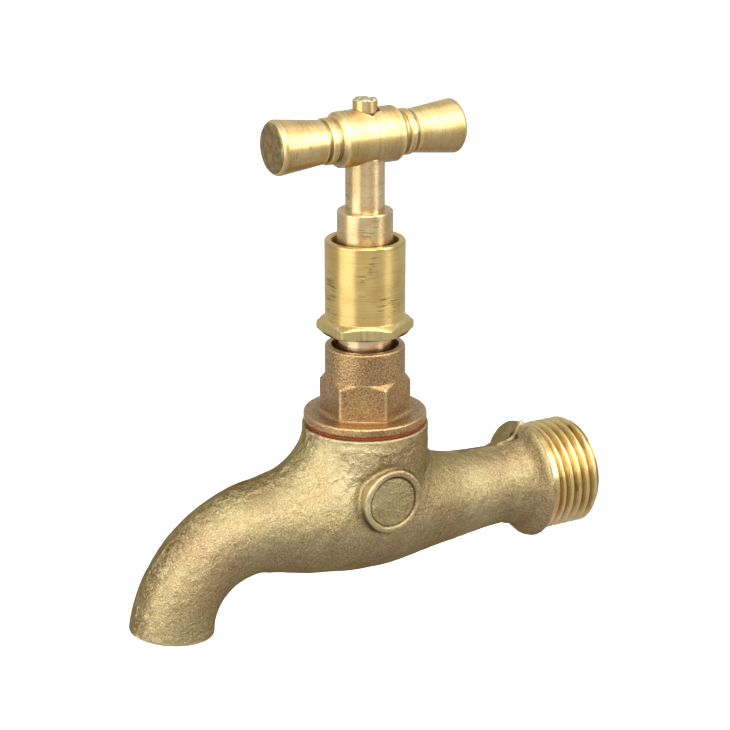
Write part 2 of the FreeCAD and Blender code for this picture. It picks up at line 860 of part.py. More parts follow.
def jumper_nut():
    """The small hexagon nut that holds the washers on the jumper's stud."""
    body = new_body("jumper_nut")
    inner = S.jumper_stud_radius + S.screwed_gap
    corner = S.jumper_nut_flats / math.sqrt(3)
    foot = KEEP_WASHER_FOOT - S.jumper_nut_height
    spin(
        body,
        "blank",
        [
            (inner, foot),
            (corner - S.jumper_nut_chamfer, foot),
            (corner, foot + S.jumper_nut_chamfer),
            (corner, KEEP_WASHER_FOOT),
            (inner, KEEP_WASHER_FOOT),
        ],
    )
    cut_flats(body, "hex", S.jumper_nut_flats, KEEP_WASHER_FOOT, S.jumper_nut_height)
    return body


nodes = [
    tap_body(),
    bonnet_washer(),
    bonnet(),
    gland_nut(),
    packing_ring(0),
    packing_ring(1),
    gland_washer(),
    spindle(),
    handle(),
    jumper(),
    seat_washer(),
    keep_washer(),
    jumper_nut(),
]
doc.recompute()

failed = [o.Name for o in doc.Objects if {"Invalid", "Error"} & set(o.State)]
if failed:
    raise RuntimeError(f"these objects did not compute: {failed}")
for node in nodes:
    shape = node.Shape
    if shape.isNull() or not shape.isValid() or len(shape.Solids) != 1:
        raise RuntimeError(f"{node.Label} is not one valid solid")

os.makedirs("parts", exist_ok=True)
for node in nodes:
    node.Shape.exportStep(f"parts/{node.Label}.step")
    print(node.Label, round(node.Shape.Volume, 1), "mm3")
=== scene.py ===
import math

import bmesh
import bpy
import numpy as np
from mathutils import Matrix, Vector


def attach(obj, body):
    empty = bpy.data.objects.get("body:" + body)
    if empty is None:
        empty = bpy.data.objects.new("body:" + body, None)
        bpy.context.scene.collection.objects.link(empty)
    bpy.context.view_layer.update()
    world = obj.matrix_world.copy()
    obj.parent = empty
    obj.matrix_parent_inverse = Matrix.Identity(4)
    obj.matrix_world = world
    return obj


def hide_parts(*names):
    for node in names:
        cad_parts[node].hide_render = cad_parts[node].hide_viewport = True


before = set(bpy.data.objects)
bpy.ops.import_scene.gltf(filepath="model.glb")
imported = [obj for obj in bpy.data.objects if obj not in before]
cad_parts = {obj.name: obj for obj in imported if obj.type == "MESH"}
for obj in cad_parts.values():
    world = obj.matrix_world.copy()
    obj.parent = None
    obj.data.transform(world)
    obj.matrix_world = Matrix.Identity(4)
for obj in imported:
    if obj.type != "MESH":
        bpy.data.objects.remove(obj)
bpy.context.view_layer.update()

# A brass garden tap. Shapes are worked out in millimetres in the CAD's frame and become metres when
# they are put in the scene. The spindle's axis stands at SPINDLE_X, the inlet's axis is the X axis.

MM = 0.001
TINY = 1e-6
SPINDLE_X = -35.4


# Numbers and curves

def through(at, knots, values):
    """A smooth curve through the values at the knots, in cubic pieces. The slope at a knot is worked
    out from the values on both sides of it."""
    knots = np.asarray(knots, float)
    values = np.asarray(values, float)
    slopes = np.gradient(values, knots)
    i = np.clip(np.searchsorted(knots, at) - 1, 0, len(knots) - 2)
    width = knots[i + 1] - knots[i]
    t = np.clip((at - knots[i]) / width, 0.0, 1.0)
    start = (1 + 2 * t) * (1 - t) ** 2 * values[i] + t * (1 - t) ** 2 * width * slopes[i]
    end = t * t * (3 - 2 * t) * values[i + 1] + t * t * (t - 1) * width * slopes[i + 1]
    return start + end


def fade(at, start, end):
    """From 0 at start to 1 at end, level at both."""
    t = np.clip((at - start) / (end - start), 0.0, 1.0)
    return t * t * (3 - 2 * t)


def hump(at, middle, width):
    """A bell curve: 1 in the middle, 0.37 at that width from it, and soon nothing."""
    return np.exp(-(((at - middle) / width) ** 2))


def rounded_max(a, b, width):
    """The larger of two fields, with the edge between them rounded over about that width."""
    near = np.maximum(width - np.abs(a - b), 0.0) / width
    return np.maximum(a, b) + near * near * width / 4


def filleted(a, b, radius):
    """Two solids joined by a fillet of that radius, from their distance fields."""
    gap = np.hypot(np.maximum(radius - a, 0.0), np.maximum(radius - b, 0.0))
    return np.maximum(radius, np.minimum(a, b)) - gap


SEED_SHIFT = 31.7
HASH_PRIMES = (73856093, 19349663, 83492791)
HASH_STIR = 1274126177
HASH_TOP = 0xFFFF


def lumps(points, cell, seed):
    """Smooth bumps from -1 to 1: a fixed pseudo-random height at each corner of cubes of that cell,
    blended between."""
    scaled = points / cell + SEED_SHIFT * seed
    base = np.floor(scaled).astype(np.int64)
    part = scaled - base
    part = part * part * (3.0 - 2.0 * part)
    total = np.zeros(len(points))
    for corner in np.ndindex(2, 2, 2):
        hashed = (base + np.array(corner)) * HASH_PRIMES
        mixed = hashed[:, 0] ^ hashed[:, 1] ^ hashed[:, 2]
        mixed = (mixed ^ (mixed >> 13)) * HASH_STIR
        height = ((mixed ^ (mixed >> 16)) & HASH_TOP) / HASH_TOP
        weight = np.prod(np.where(np.array(corner) == 1, part, 1.0 - part), axis=1)
        total += weight * height
    return total * 2.0 - 1.0


def layered_lumps(points, layers):
    """Bumps of several sizes together, each layer with a height, a cell and a seed."""
    return sum(height * lumps(points, cell, seed) for height, cell, seed in layers)


# Meshes

SAME_POINT = 1e-7


def place(name, points, faces, body, node, slot, material):
    """Makes a piece from points in millimetres, lets it ride on a body and stand for a CAD node."""
    mesh = bpy.data.meshes.new(name)
    mesh.from_pydata(np.asarray(points) * MM, [], faces)
    mesh.update()
    work = bmesh.new()
    work.from_mesh(mesh)
    bmesh.ops.remove_doubles(work, verts=work.verts, dist=SAME_POINT)
    bmesh.ops.dissolve_degenerate(work, edges=work.edges, dist=SAME_POINT)
    bmesh.ops.recalc_face_normals(work, faces=work.faces)
    work.to_mesh(mesh)
    work.free()
    mesh.shade_smooth()
    piece = bpy.data.objects.new(name, mesh)
    bpy.context.scene.collection.objects.link(piece)
    mesh.materials.append(material)
    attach(piece, body)
    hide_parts(node)
    return piece


def places_of(things, field):
    """Where points, or the middles of faces, are in millimetres."""
    places = np.empty(len(things) * 3)
    things.foreach_get(field, places)
    return places.reshape(-1, 3) / MM


def mark(piece, name, value_at):
    """Stores a number at each of a piece's points, worked out from where the point is."""
    values = value_at(places_of(piece.data.vertices, "co"))
    piece.data.attributes.new(name, "FLOAT", "POINT").data.foreach_set("value", values)


def dress(piece, material, chosen):
    """Gives another finish to the faces whose middles are chosen."""
    faces = piece.data.polygons
    piece.data.materials.append(material)
    index = np.zeros(len(faces), int)
    faces.foreach_get("material_index", index)
    index[chosen(places_of(faces, "center"))] = len(piece.data.materials) - 1
    faces.foreach_set("material_index", index)


def grid_faces(rows, columns, wrap_rows):
    """Quads of a grid whose columns close on themselves, and whose rows do too where asked."""
    row = np.arange(rows if wrap_rows else rows - 1)[:, None]
    column = np.arange(columns)[None, :]
    this_row = row * columns
    next_row = (row + 1) % rows * columns
    beside = (column + 1) % columns
    quads = [this_row + column, this_row + beside, next_row + beside, next_row + column]
    return np.stack(np.broadcast_arrays(*quads), axis=-1).reshape(-1, 4).tolist()


def spread(values, columns):
    """A grid whose every column holds the values."""
    return np.repeat(values[:, None], columns, axis=1)


def circled(radius, height):
    """Points of a surface round the Z axis, from the radius and the height all over its grid."""
    columns = radius.shape[1]
    angle = np.arange(columns) * 2 * np.pi / columns
    return np.stack([radius * np.cos(angle), radius * np.sin(angle), height], axis=-1).reshape(-1, 3)


HEX = True
HOLD = 0.05
MOST_CUT = 0.45
ARC_SHARES = (0.0, 0.25, 0.5, 0.75, 1.0)


def softened(corners, step):
    """A profile through corners, each a radius, a height, a rounding and HEX where a hexagon cuts it.
    Each corner becomes an arc. Each long line goes in steps, with one more point HOLD from each end, so
    that the corner's shading stays at the corner."""
    points = []
    for i, (radius, height, rounding, *hexagonal) in enumerate(corners):
        here = np.array([radius, height])
        before = np.array(corners[i - 1][:2])
        after = np.array(corners[(i + 1) % len(corners)][:2])
        back = np.linalg.norm(before - here)
        on = np.linalg.norm(after - here)
        cut = min(rounding, MOST_CUT * back, MOST_CUT * on)
        if cut <= 0:
            points.append((*here, bool(hexagonal)))
            continue
        start = here + (before - here) * cut / back
        end = here + (after - here) * cut / on
        for t in ARC_SHARES:
            arc = start * (1 - t) ** 2 + here * 2 * t * (1 - t) + end * t * t
            points.append((*arc, bool(hexagonal)))
    places = []
    cut_by_hexagon = []
    for i, (radius, height, hexagonal) in enumerate(points):
        next_radius, next_height, next_hexagonal = points[(i + 1) % len(points)]
        length = math.dist((radius, height), (next_radius, next_height))
        pieces = max(1, math.ceil(length / step))
        shares = [k / pieces for k in range(pieces)]
        if length > 4 * HOLD:
            shares += [HOLD / length, 1 - HOLD / length]
        for share in sorted(shares):
            places.append(
                (radius + (next_radius - radius) * share, height + (next_height - height) * share)
            )
            cut_by_hexagon.append(hexagonal and (next_hexagonal or share == 0))
    return np.array(places), np.array(cut_by_hexagon)


PROFILE_STEP = 0.8
HEXAGON_POWER = 70
TRIM_POWER = 130


def turned(corners, columns=192, flats=None, turn=0.0):
    """A closed profile turned round the spindle's axis. Where a corner is hexagonal, the radius is the
    smaller of the profile's and the hexagon's, with the edge between them rounded by a power mean."""
    profile, hexagonal = softened(corners, PROFILE_STEP)
    radius = spread(profile[:, 0], columns)
    if flats is not None:
        angle = np.arange(columns) * 2 * np.pi / columns
        normals = np.radians(turn + np.arange(6) * 60.0)
        toward = np.maximum(np.cos(angle[:, None] - normals[None, :]), 0.0) * 2 / flats
        hexagon = np.sum(toward ** HEXAGON_POWER, axis=1) ** (-1 / HEXAGON_POWER)
        trimmed = (radius ** -TRIM_POWER + hexagon[None, :] ** -TRIM_POWER) ** (-1 / TRIM_POWER)
        radius = np.where(hexagonal[:, None], trimmed, radius)
    points = circled(radius, spread(profile[:, 1], columns)) + [SPINDLE_X, 0.0, 0.0]
    return points, grid_faces(len(profile), columns, True)


def capped(corners, columns, step):
    """A profile from axis to axis turned round the Z axis, closed at both poles."""
    profile, _ = softened(corners + [(0.0, corners[0][1], 0.0)], step)
    last = max(i for i, point in enumerate(profile) if point[0] == 0.0 and point[1] == corners[-1][1])
    profile = profile[: last + 1]
    points = circled(spread(profile[:, 0], columns), spread(profile[:, 1], columns))
    return points, grid_faces(len(profile), columns, False)


# The casting. In its functions x is counted from the spindle's axis.

BEND_X = -22.2
BEND_RADIUS = 18.3
BEND_ANGLE = math.radians(85.0)
FAR_FROM_MOUTH = -20.0
SPOUT_RISE = 2.0
SPOUT_AT = [BEND_X - BEND_RADIUS * BEND_ANGLE * share for share in (1.0, 0.75, 0.5, 0.25, 0.0)]
STRAIGHT_AT = [-13.5, 1.0, 11.0, 18.5, 25.0, 36.0]
RUN_AT = SPOUT_AT + STRAIGHT_AT
RUN_RADII = [7.85, 7.6, 7.65, 8.1, 8.9, 10.5, 11.4, 9.9, 8.5, 7.85, 7.85]
RISE_AT = [BEND_X] + STRAIGHT_AT
RISES = [SPOUT_RISE, 1.8, 1.2, 0.7, 0.0, 0.0, 0.0]
MOUTH_ROUNDING = 0.5
SHOULDER_AT = 35.4
SHOULDER_ROUNDING = 0.3
FLUSH = 0.02

FLARE_AT = [30.6, 31.9, 33.15, 34.7, SHOULDER_AT]
FLARE_RADII = [7.3, 7.95, 9.0, 11.3, 11.5]
FLARE_STEEPNESS = 1.5
FLARE_ROUNDING = 0.5
FLARE_FILLET = 1.6

NECK_TOP = 18.4
NECK_AT = [-2.0, 2.0, 7.0, 10.0, NECK_TOP]
NECK_RADII = [9.0, 10.9, 11.6, 11.75, 11.75]
NECK_ROUNDING = 0.35
NECK_FILLET = 0.6
NECK_FILLET_TO_SPOUT = 7.5
NECK_FILLET_TO_INLET = 4.0

PAD_X = -1.1
PAD_Z = 6.7
PAD_RADIUS = 6.1
PAD_FACE = -12.7
PAD_BACK = -8.0
PAD_WOBBLE = 0.08
PAD_RIM = 1.4
PAD_RECESS = 0.55
PAD_CROWN = 0.28
PAD_ROUNDING = 0.5
RECESS_ROUNDING = 0.3
PAD_FILLET = 0.45
PAD_FRONT = -9.0

PARTING_Y = 0.15
FLASH_WANDER = 0.35
FLASH_WIDTH = 0.6
FLASH_LEAST = 0.04
FLASH_RAGGED = 0.20
FLASH_ON_FLARE = 0.26

SPOUT_WALL = 2.0
SPOUT_BORE_END = -7.0
SPOUT_BORE_RADII = [radius - SPOUT_WALL for radius in RUN_RADII[:5]] + [6.6]
CHAMBER_RADIUS = 8.2
CHAMBER_FLOOR = 1.0
CHAMBER_WIDER_FROM = 10.4
CHAMBER_WIDER_RADIUS = 8.45
SEAT_RADIUS = 6.2
SEAT_TOP = 2.0
SEAT_BORE = 4.5
PASSAGE_AT = [8.4, 17.2]
PASSAGE_Z = -4.9
PASSAGE_RADIUS = 4.2
INLET_BORE = 7.0
BORE_ROUNDING = 0.4


def from_spindle(points):
    """The coordinates of points, with x counted from the spindle's axis."""
    return points[:, 0] - SPINDLE_X, points[:, 1], points[:, 2]


def from_pad(x, z):
    """How far points are from the pad's middle, seen from the front."""
    return np.hypot(x - PAD_X, z - PAD_Z)


def along_run(x, y, z):
    """Where a point lies along the run of the casting, how far it is from the run's axis, and how far
    past the mouth."""
    centre_z = SPOUT_RISE - BEND_RADIUS
    turned_by = np.arctan2(BEND_X - x, z - centre_z)
    on_bend = x < BEND_X
    along = np.where(on_bend, BEND_X - BEND_RADIUS * turned_by, x)
    rise = through(x, RISE_AT, RISES)
    bend_off = np.hypot(np.hypot(x - BEND_X, z - centre_z) - BEND_RADIUS, y)
    off = np.where(on_bend, bend_off, np.hypot(z - rise, y))
    past_mouth = np.hypot(x - BEND_X, z - centre_z) * np.sin(turned_by - BEND_ANGLE)
    return along, off, np.where(on_bend, past_mouth, FAR_FROM_MOUTH)


def flash_on_parting(x, y, z):
    """How high the ragged seam of metal stands where the mould's halves met: a narrow ridge near the
    plane y = 0 that wanders to both sides and swells and breaks off with the lumps along it."""
    along_seam = np.stack([x, y * 0, z], axis=-1)
    wander = PARTING_Y + FLASH_WANDER * lumps(along_seam, 3.1, 3)
    ragged = np.clip(0.35 + 0.9 * lumps(along_seam, 1.3, 4) + 0.4 * lumps(along_seam, 5.0, 6), 0.0, 1.0)
    on_flare = FLASH_ON_FLARE * fade(x, 29.0, 31.5) * fade(z, 0.0, 4.0)
    return (FLASH_LEAST + FLASH_RAGGED * ragged + on_flare) * hump(y, wander, FLASH_WIDTH)


def casting_outside(x, y, z):
    """Distance field of the casting's outside: run, flare, upright neck and pad, joined by fillets."""
    along, off, past_mouth = along_run(x, y, z)
    run = off - through(along, RUN_AT, RUN_RADII)
    flare = (np.hypot(y, z) - through(x, FLARE_AT, FLARE_RADII)) / FLARE_STEEPNESS
    flare = rounded_max(flare, FLARE_AT[0] - x, FLARE_ROUNDING)
    run = filleted(run, flare, FLARE_FILLET)
    run = rounded_max(run, past_mouth, MOUTH_ROUNDING)
    run = rounded_max(run, x - SHOULDER_AT, SHOULDER_ROUNDING)
    neck_off = np.hypot(x, y)
    neck = np.maximum(neck_off - through(z, NECK_AT, NECK_RADII), NECK_AT[0] - z)
    side = np.clip(np.abs(x) / np.maximum(neck_off, TINY), 0.0, 1.0) ** 2
    reach = np.where(x < 0, NECK_FILLET_TO_SPOUT, NECK_FILLET_TO_INLET)
    solid = filleted(run, neck, NECK_FILLET + side * (reach - NECK_FILLET))
    solid = solid - flash_on_parting(x, y, z)
    solid = np.maximum(solid, past_mouth - FLUSH)
    solid = np.maximum(solid, x - SHOULDER_AT + FLUSH)
    solid = rounded_max(solid, z - NECK_TOP, NECK_ROUNDING)
    pad_off = from_pad(x, z)
    wobble = PAD_WOBBLE * lumps(np.stack([x, z, y], axis=-1), 1.9, 5)
    pad = rounded_max(pad_off - PAD_RADIUS + wobble, PAD_FACE - y, PAD_ROUNDING)
    pad = np.maximum(pad, y - PAD_BACK)
    depth = PAD_RECESS - PAD_CROWN * (1 - (pad_off / PAD_RADIUS) ** 2)
    sunk = rounded_max(pad_off - PAD_RADIUS + PAD_RIM + wobble, y - PAD_FACE - depth, RECESS_ROUNDING)
    pad = rounded_max(pad, -sunk, PAD_ROUNDING)
    return filleted(solid, pad, PAD_FILLET)


def casting_hollow(x, y, z):
    """Distance field of the water's way: inlet bore, passage under the seat, chamber and spout."""
    along, off, _ = along_run(x, y, z)
    spout_off = np.where(x < BEND_X, off, np.hypot(z - SPOUT_RISE, y))
    spout_radius = through(along, SPOUT_AT + [SPOUT_BORE_END], SPOUT_BORE_RADII)
    spout = np.maximum(spout_off - spout_radius, x - SPOUT_BORE_END)
    neck_off = np.hypot(x, y)
    floor = np.where(neck_off < SEAT_RADIUS, SEAT_TOP, CHAMBER_FLOOR)
    chamber_radius = np.where(z > CHAMBER_WIDER_FROM, CHAMBER_WIDER_RADIUS, CHAMBER_RADIUS)
    chamber = np.maximum(neck_off - chamber_radius, floor - z)
    seat = np.maximum(neck_off - SEAT_BORE, np.maximum(z - (SEAT_TOP + 1.0), PASSAGE_Z - z))
    passage_z = np.interp(x, PASSAGE_AT, [PASSAGE_Z, 0.0])
    passage_radius = np.interp(x, PASSAGE_AT, [PASSAGE_RADIUS, INLET_BORE])
    passage = np.maximum(np.hypot(y, z - passage_z) - passage_radius, -PASSAGE_RADIUS - x)
    return np.minimum(np.minimum(spout, chamber), np.minimum(seat, passage))


def casting_field(points):
    """Distance field of the whole casting, from points in the CAD's frame."""
    x, y, z = from_spindle(points)
    return rounded_max(casting_outside(x, y, z), -casting_hollow(x, y, z), BORE_ROUNDING)


def steps_each_way(small):
    """A small step along each axis in turn."""
    return np.eye(3) * small


SLOPE_STEP = 0.02
BEND_STEP = 0.3


def slope_of(field, points):
    """A field's slope at each point, from its change over a small step each way."""
    steps = steps_each_way(SLOPE_STEP)
    return np.stack([(field(points + s) - field(points - s)) / (2 * SLOPE_STEP) for s in steps], axis=-1)


def bend_of_casting(points):
    """How sharply the casting bends at each point: the sum of its field's second slopes over 0.3 mm
    steps, over 0 on an edge and under 0 in a corner, where it gives painted shade. It counts only at the
    mouth, the seam, the pad and the machined ends. The neck over the spout and the inlet's neck get a
    painted highlight, and the spout's back gets painted shade, browner."""
    bend = -6.0 * casting_field(points)
    for step in steps_each_way(BEND_STEP):
        bend += casting_field(points + step) + casting_field(points - step)
    x, y, z = from_spindle(points)
    at_pad = (from_pad(x, z) < PAD_RADIUS + 1.2) & (y < PAD_FRONT)
    at_seam = np.abs(y) < 1.5
    at_mouth = along_run(x, y, z)[2] > -1.5
    at_ends = (z > 16.0) | (x > 34.0)
    share = np.where(at_seam, np.where(x > 29.0, 1.0, 0.6), 0.0)
    share = np.where(at_ends & ~at_seam, 0.3, share)
    # Round the pad the corners darken more than the edges pale: a painted shade outline.
    share = np.where(at_pad, np.where(bend > 0, 0.4, 0.8), share)
    share = np.where(at_mouth, 1.0, share)
    # A painted highlight on the neck's side over the spout and on the front of the inlet's neck.
    painted_highlight = 1.2 * hump(x, -8.0, 5.0) * fade(z, 3.0, 8.0) * fade(z, 18.6, 17.2)
    painted_highlight += 0.8 * hump(x, 21.0, 5.5) * fade(-y, 1.0, 6.0)
    # Painted shade, browner, on top of the spout near its bend.
    browner_painted_shade = 0.68 * hump(x, -25.0, 7.0) * fade(z, 4.5, 9.0)
    return share * bend / BEND_STEP ** 2 + painted_highlight - browner_painted_shade


def crust_on_casting(points):
    """Where the mould's sand left a crust: along the seam over the spout's back, and more faintly on
    the neck, but not on the pad."""
    x, y, z = from_spindle(points)
    seam = hump(y, -0.6, 2.6) * fade(-x, 7.0, 12.0)
    neck = 0.45 * hump(x, -4.0, 6.0) * fade(z, 1.0, 7.0) * fade(z, 18.0, 16.0)
    off_pad = np.where(y < -8.5, fade(from_pad(x, z), PAD_RADIUS, PAD_RADIUS + 1.5), 1.0)
    return np.maximum(seam, neck) * off_pad


FARTHEST_MOVE = 0.4
LEAST_SLOPE = 0.15


def settled(field, points, rounds=4):
    """Points moved onto the surface where the field is zero, by Newton's rule along its slope."""
    for _ in range(rounds):
        slope = slope_of(field, points)
        size = np.maximum(np.sum(slope * slope, axis=1), LEAST_SLOPE)
        points = points - slope * (np.clip(field(points), -FARTHEST_MOVE, FARTHEST_MOVE) / size)[:, None]
    return points


def skin(field, low, high, step):
    """The surface where a field is zero, as quads: one point in each cube of a lattice that the surface
    passes through, at the mean of the crossings on its edges, and one quad round each crossed edge."""
    axes = [np.arange(a, b + step, step) for a, b in zip(low, high)]
    lattice = np.stack(np.meshgrid(*axes, indexing="ij"), axis=-1)
    values = field(lattice.reshape(-1, 3)).reshape(lattice.shape[:3])
    inside = values < 0
    cubes = tuple(n - 1 for n in values.shape)
    total = np.zeros(cubes + (3,))
    count = np.zeros(cubes, int)
    crossings = []
    for axis in range(3):
        first = [slice(None)] * 3
        second = [slice(None)] * 3
        first[axis] = slice(None, -1)
        second[axis] = slice(1, None)
        a = values[tuple(first)]
        b = values[tuple(second)]
        crossed = inside[tuple(first)] != inside[tuple(second)]
        share = np.where(crossed, a / np.where(crossed, a - b, 1.0), 0.0)
        spot = lattice[tuple(first)].copy()
        spot[..., axis] += share * step
        others = [o for o in range(3) if o != axis]
        for shifts in np.ndindex(2, 2):
            window = [slice(None)] * 3
            for other, shift in zip(others, shifts):
                window[other] = slice(shift, shift + cubes[other])
            here = crossed[tuple(window)]
            total += np.where(here[..., None], spot[tuple(window)], 0.0)
            count += here
        crossings.append(crossed)
    used = count > 0
    index = np.full(cubes, -1)
    index[used] = np.arange(used.sum())
    points = total[used] / count[used][:, None]
    quads = []
    for axis in range(3):
        across = (axis + 1) % 3
        up = (axis + 2) % 3
        where = np.argwhere(crossings[axis])
        keep = (where[:, across] > 0) & (where[:, up] > 0)
        keep &= (where[:, across] < cubes[across]) & (where[:, up] < cubes[up])
        where = where[keep]
        ring = []
        for back_across, back_up in ((1, 1), (0, 1), (0, 0), (1, 0)):
            cube = where.copy()
            cube[:, across] -= back_across
            cube[:, up] -= back_up
            ring.append(index[tuple(cube.T)])
        ring = np.stack(ring, axis=-1)
        outward = inside[tuple(where.T)]
        quads.append(np.where(outward[:, None], ring, ring[:, ::-1]))
    return points, np.concatenate(quads)


def finer(points, quads, chosen):
    """Splits the quads whose middle is chosen into four, and the ones beside them to match."""
    mesh = bpy.data.meshes.new("finer")
    mesh.from_pydata(points, [], quads.tolist())
    work = bmesh.new()
    work.from_mesh(mesh)
    picked = chosen(np.array([face.calc_center_median()[:] for face in work.faces]))
    edges = {edge for face, pick in zip(work.faces, picked) if pick for edge in face.edges}
    bmesh.ops.subdivide_edges(work, edges=list(edges), cuts=1, use_grid_fill=True)
    bmesh.ops.triangulate(work, faces=[face for face in work.faces if len(face.verts) > 4])
    work.to_mesh(mesh)
    work.free()
    points = np.empty(len(mesh.vertices) * 3)
    mesh.vertices.foreach_get("co", points)
    faces = [tuple(p.vertices) for p in mesh.polygons]
    bpy.data.meshes.remove(mesh)
    return points.reshape(-1, 3), faces


def near_detail(middles):
    """The stretches that need smaller faces: round the pad, and along the flash on the parting line."""
    x, y, z = from_spindle(middles)
    pad = (from_pad(x, z) < PAD_RADIUS + 1.0) & (y < PAD_FRONT)
    outside = casting_hollow(x, y, z) > 1.0
    reach = np.where((x < -6.0) & (z > -12.0), 2.0, 0.95)
    return pad | ((np.abs(y - PARTING_Y) < reach) & outside)


CASTING_LOW = (SPINDLE_X - 50.0, -13.6, -16.6)
CASTING_HIGH = (0.6, 13.2, 19.4)
CASTING_STEP = 0.42
SAND_LUMPS = ((0.06, 2.9, 1), (0.045, 1.3, 2))
SEAM_LUMPS = ((0.18, 1.7, 7), (0.13, 1.0, 8))
SAND_DEPTH = 0.11
SEAM_DEPTH = 0.08
MOUTH_DEPTH = 0.06


def tap_casting():
    """The casting as the zero surface of its field, pushed in by the sand's lumps along its slope."""
    points, quads = skin(casting_field, CASTING_LOW, CASTING_HIGH, CASTING_STEP)
    points, faces = finer(points, quads, near_detail)
    points = settled(casting_field, points)
    slope = slope_of(casting_field, points)
    normal = slope / np.maximum(np.linalg.norm(slope, axis=1), TINY)[:, None]
    x, y, z = from_spindle(points)
    rough = layered_lumps(points, SAND_LUMPS)
    seam = hump(y, 0.0, 2.0) * fade(-x, 7.0, 12.0)
    rough += seam * (layered_lumps(points, SEAM_LUMPS) - SEAM_DEPTH)
    machined = np.maximum(fade(z, NECK_TOP - 0.35, NECK_TOP - 0.1), fade(x, 35.0, 35.3))
    depth = (rough - SAND_DEPTH) * (1 - machined)
    to_mouth = fade(along_run(x, y, z)[2], -2.2, -0.6)
    depth = depth * (1 - to_mouth) - MOUTH_DEPTH * to_mouth
    return points + normal * depth[:, None], faces


# The machined inlet

THREAD_RADIUS = 10.4775
THREAD_DEPTH = 1.162
THREAD_PITCH = 1.814
THREAD_CREST = 0.34
THREAD_ROOT = 0.12
THREAD_START = 0.35
FLANK_ROUNDING = 0.4
LAND_LENGTH = 1.8
INLET_END = 11.6
END_CHAMFER = 1.05
INLET_COLUMNS = 240
INLET_STEP = 0.085
INLET_INSIDE = [
    (INLET_END, 9.0),
    (INLET_END, 8.2),
    (INLET_END, 7.35),
    (INLET_END - 0.12, 7.12),
    (INLET_END - 0.35, INLET_BORE),
    *[(along, INLET_BORE) for along in (10.0, 8.0, 6.0, 4.0, 2.0, 0.0)],
    (0.0, 8.5),
]


def inlet_end():
    """The land and the thread: radius from the distance along the inlet and the angle round it. The
    ridge's height follows its phase, distance over pitch less angle over a turn. The end is
    chamfered."""
    turns = np.arange(INLET_COLUMNS) * 2 * np.pi / INLET_COLUMNS / (2 * np.pi)
    rows = np.concatenate([[0.0, 0.06], np.arange(0.15, INLET_END - 0.02, INLET_STEP), [INLET_END]])
    along = spread(rows, INLET_COLUMNS)
    phase = (along - LAND_LENGTH - THREAD_START) / THREAD_PITCH - turns
    from_ridge = np.abs((phase + 0.5) % 1.0 - 0.5) * THREAD_PITCH
    flank = (THREAD_PITCH - THREAD_CREST - THREAD_ROOT) / 2
    down = np.clip((from_ridge - THREAD_CREST / 2) / flank, 0.0, 1.0)
    down = (1 - FLANK_ROUNDING) * down + FLANK_ROUNDING * (0.5 - 0.5 * np.cos(np.pi * down))
    land = fade(along, LAND_LENGTH + 0.1, LAND_LENGTH)
    radius = np.maximum(THREAD_RADIUS - THREAD_DEPTH * down, THREAD_RADIUS - THREAD_DEPTH * (1 - land))
    radius = np.where(along < LAND_LENGTH, THREAD_RADIUS, radius)
    radius = np.minimum(radius, THREAD_RADIUS - END_CHAMFER + (INLET_END - along))
    inside_along, inside_radius = np.array(INLET_INSIDE).T
    along = np.concatenate([along, spread(inside_along, INLET_COLUMNS)])
    radius = np.concatenate([radius, spread(inside_radius, INLET_COLUMNS)])
    points = np.roll(circled(radius, along), 1, axis=1)
    return points, grid_faces(len(along), INLET_COLUMNS, True)


def height_on_thread(points):
    """From -0.6 at the bottom of the thread to 0.5 on its crests, -0.9 where the land meets the
    casting, else 0. Under 0 it paints shade in the thread's roots and in the crease at the casting."""
    off = np.hypot(points[:, 1], points[:, 2])
    share = (off - THREAD_RADIUS + THREAD_DEPTH) / THREAD_DEPTH
    on_thread = (points[:, 0] > LAND_LENGTH) & (off > THREAD_RADIUS - THREAD_DEPTH - 0.05)
    at_casting = -0.9 * hump(points[:, 0], 0.0, 0.14) * (off > 9.0)
    return np.where(on_thread, 1.1 * share - 0.6, at_casting)


# Finishes

def linear(code):
    """A hex colour as the eye sees it, turned to linear light, with full cover."""
    parts = [int(code[i : i + 2], 16) / 255 for i in (1, 3, 5)]
    return [p / 12.92 if p <= 0.04045 else ((p + 0.055) / 1.055) ** 2.4 for p in parts] + [1.0]


def per_mm(size):
    """The scale that gives a pattern cells of that size in millimetres."""
    return 1 / (size * MM)


def give(tree, node, inputs):
    """Gives a node's sockets, by name or number, a value or another node's output."""
    for socket, value in inputs.items():
        if isinstance(value, bpy.types.NodeSocket):
            tree.links.new(value, node.inputs[socket])
        else:
            node.inputs[socket].default_value = value


def add(tree, kind, inputs, **settings):
    """Adds a node of that kind with its settings and inputs."""
    made = tree.nodes.new(kind)
    for name, value in settings.items():
        setattr(made, name, value)
    give(tree, made, inputs)
    return made


def noise(tree, where, size, detail, **more):
    """A cloudy pattern with cells of that size in millimetres."""
    inputs = {"Vector": where, "Scale": per_mm(size), "Detail": detail, **more}
    return add(tree, "ShaderNodeTexNoise", inputs).outputs[0]


def ramp(tree, value, *stops):
    """A colour that follows a value through stops, each a position and a hex colour."""
    made = add(tree, "ShaderNodeValToRGB", {0: value})
    elements = made.color_ramp.elements
    for index, (position, code) in ((0, stops[0]), (1, stops[-1])):
        elements[index].position = position
        elements[index].color = linear(code)
    for position, code in stops[1:-1]:
        elements.new(position).color = linear(code)
    return made.outputs[0]


def blend(tree, share, under, over):
    """A share of one colour over another. The upper one may be a hex colour."""
    if isinstance(over, str):
        over = linear(over)
    return add(tree, "ShaderNodeMix", {0: share, 6: under, 7: over}, data_type="RGBA").outputs[2]


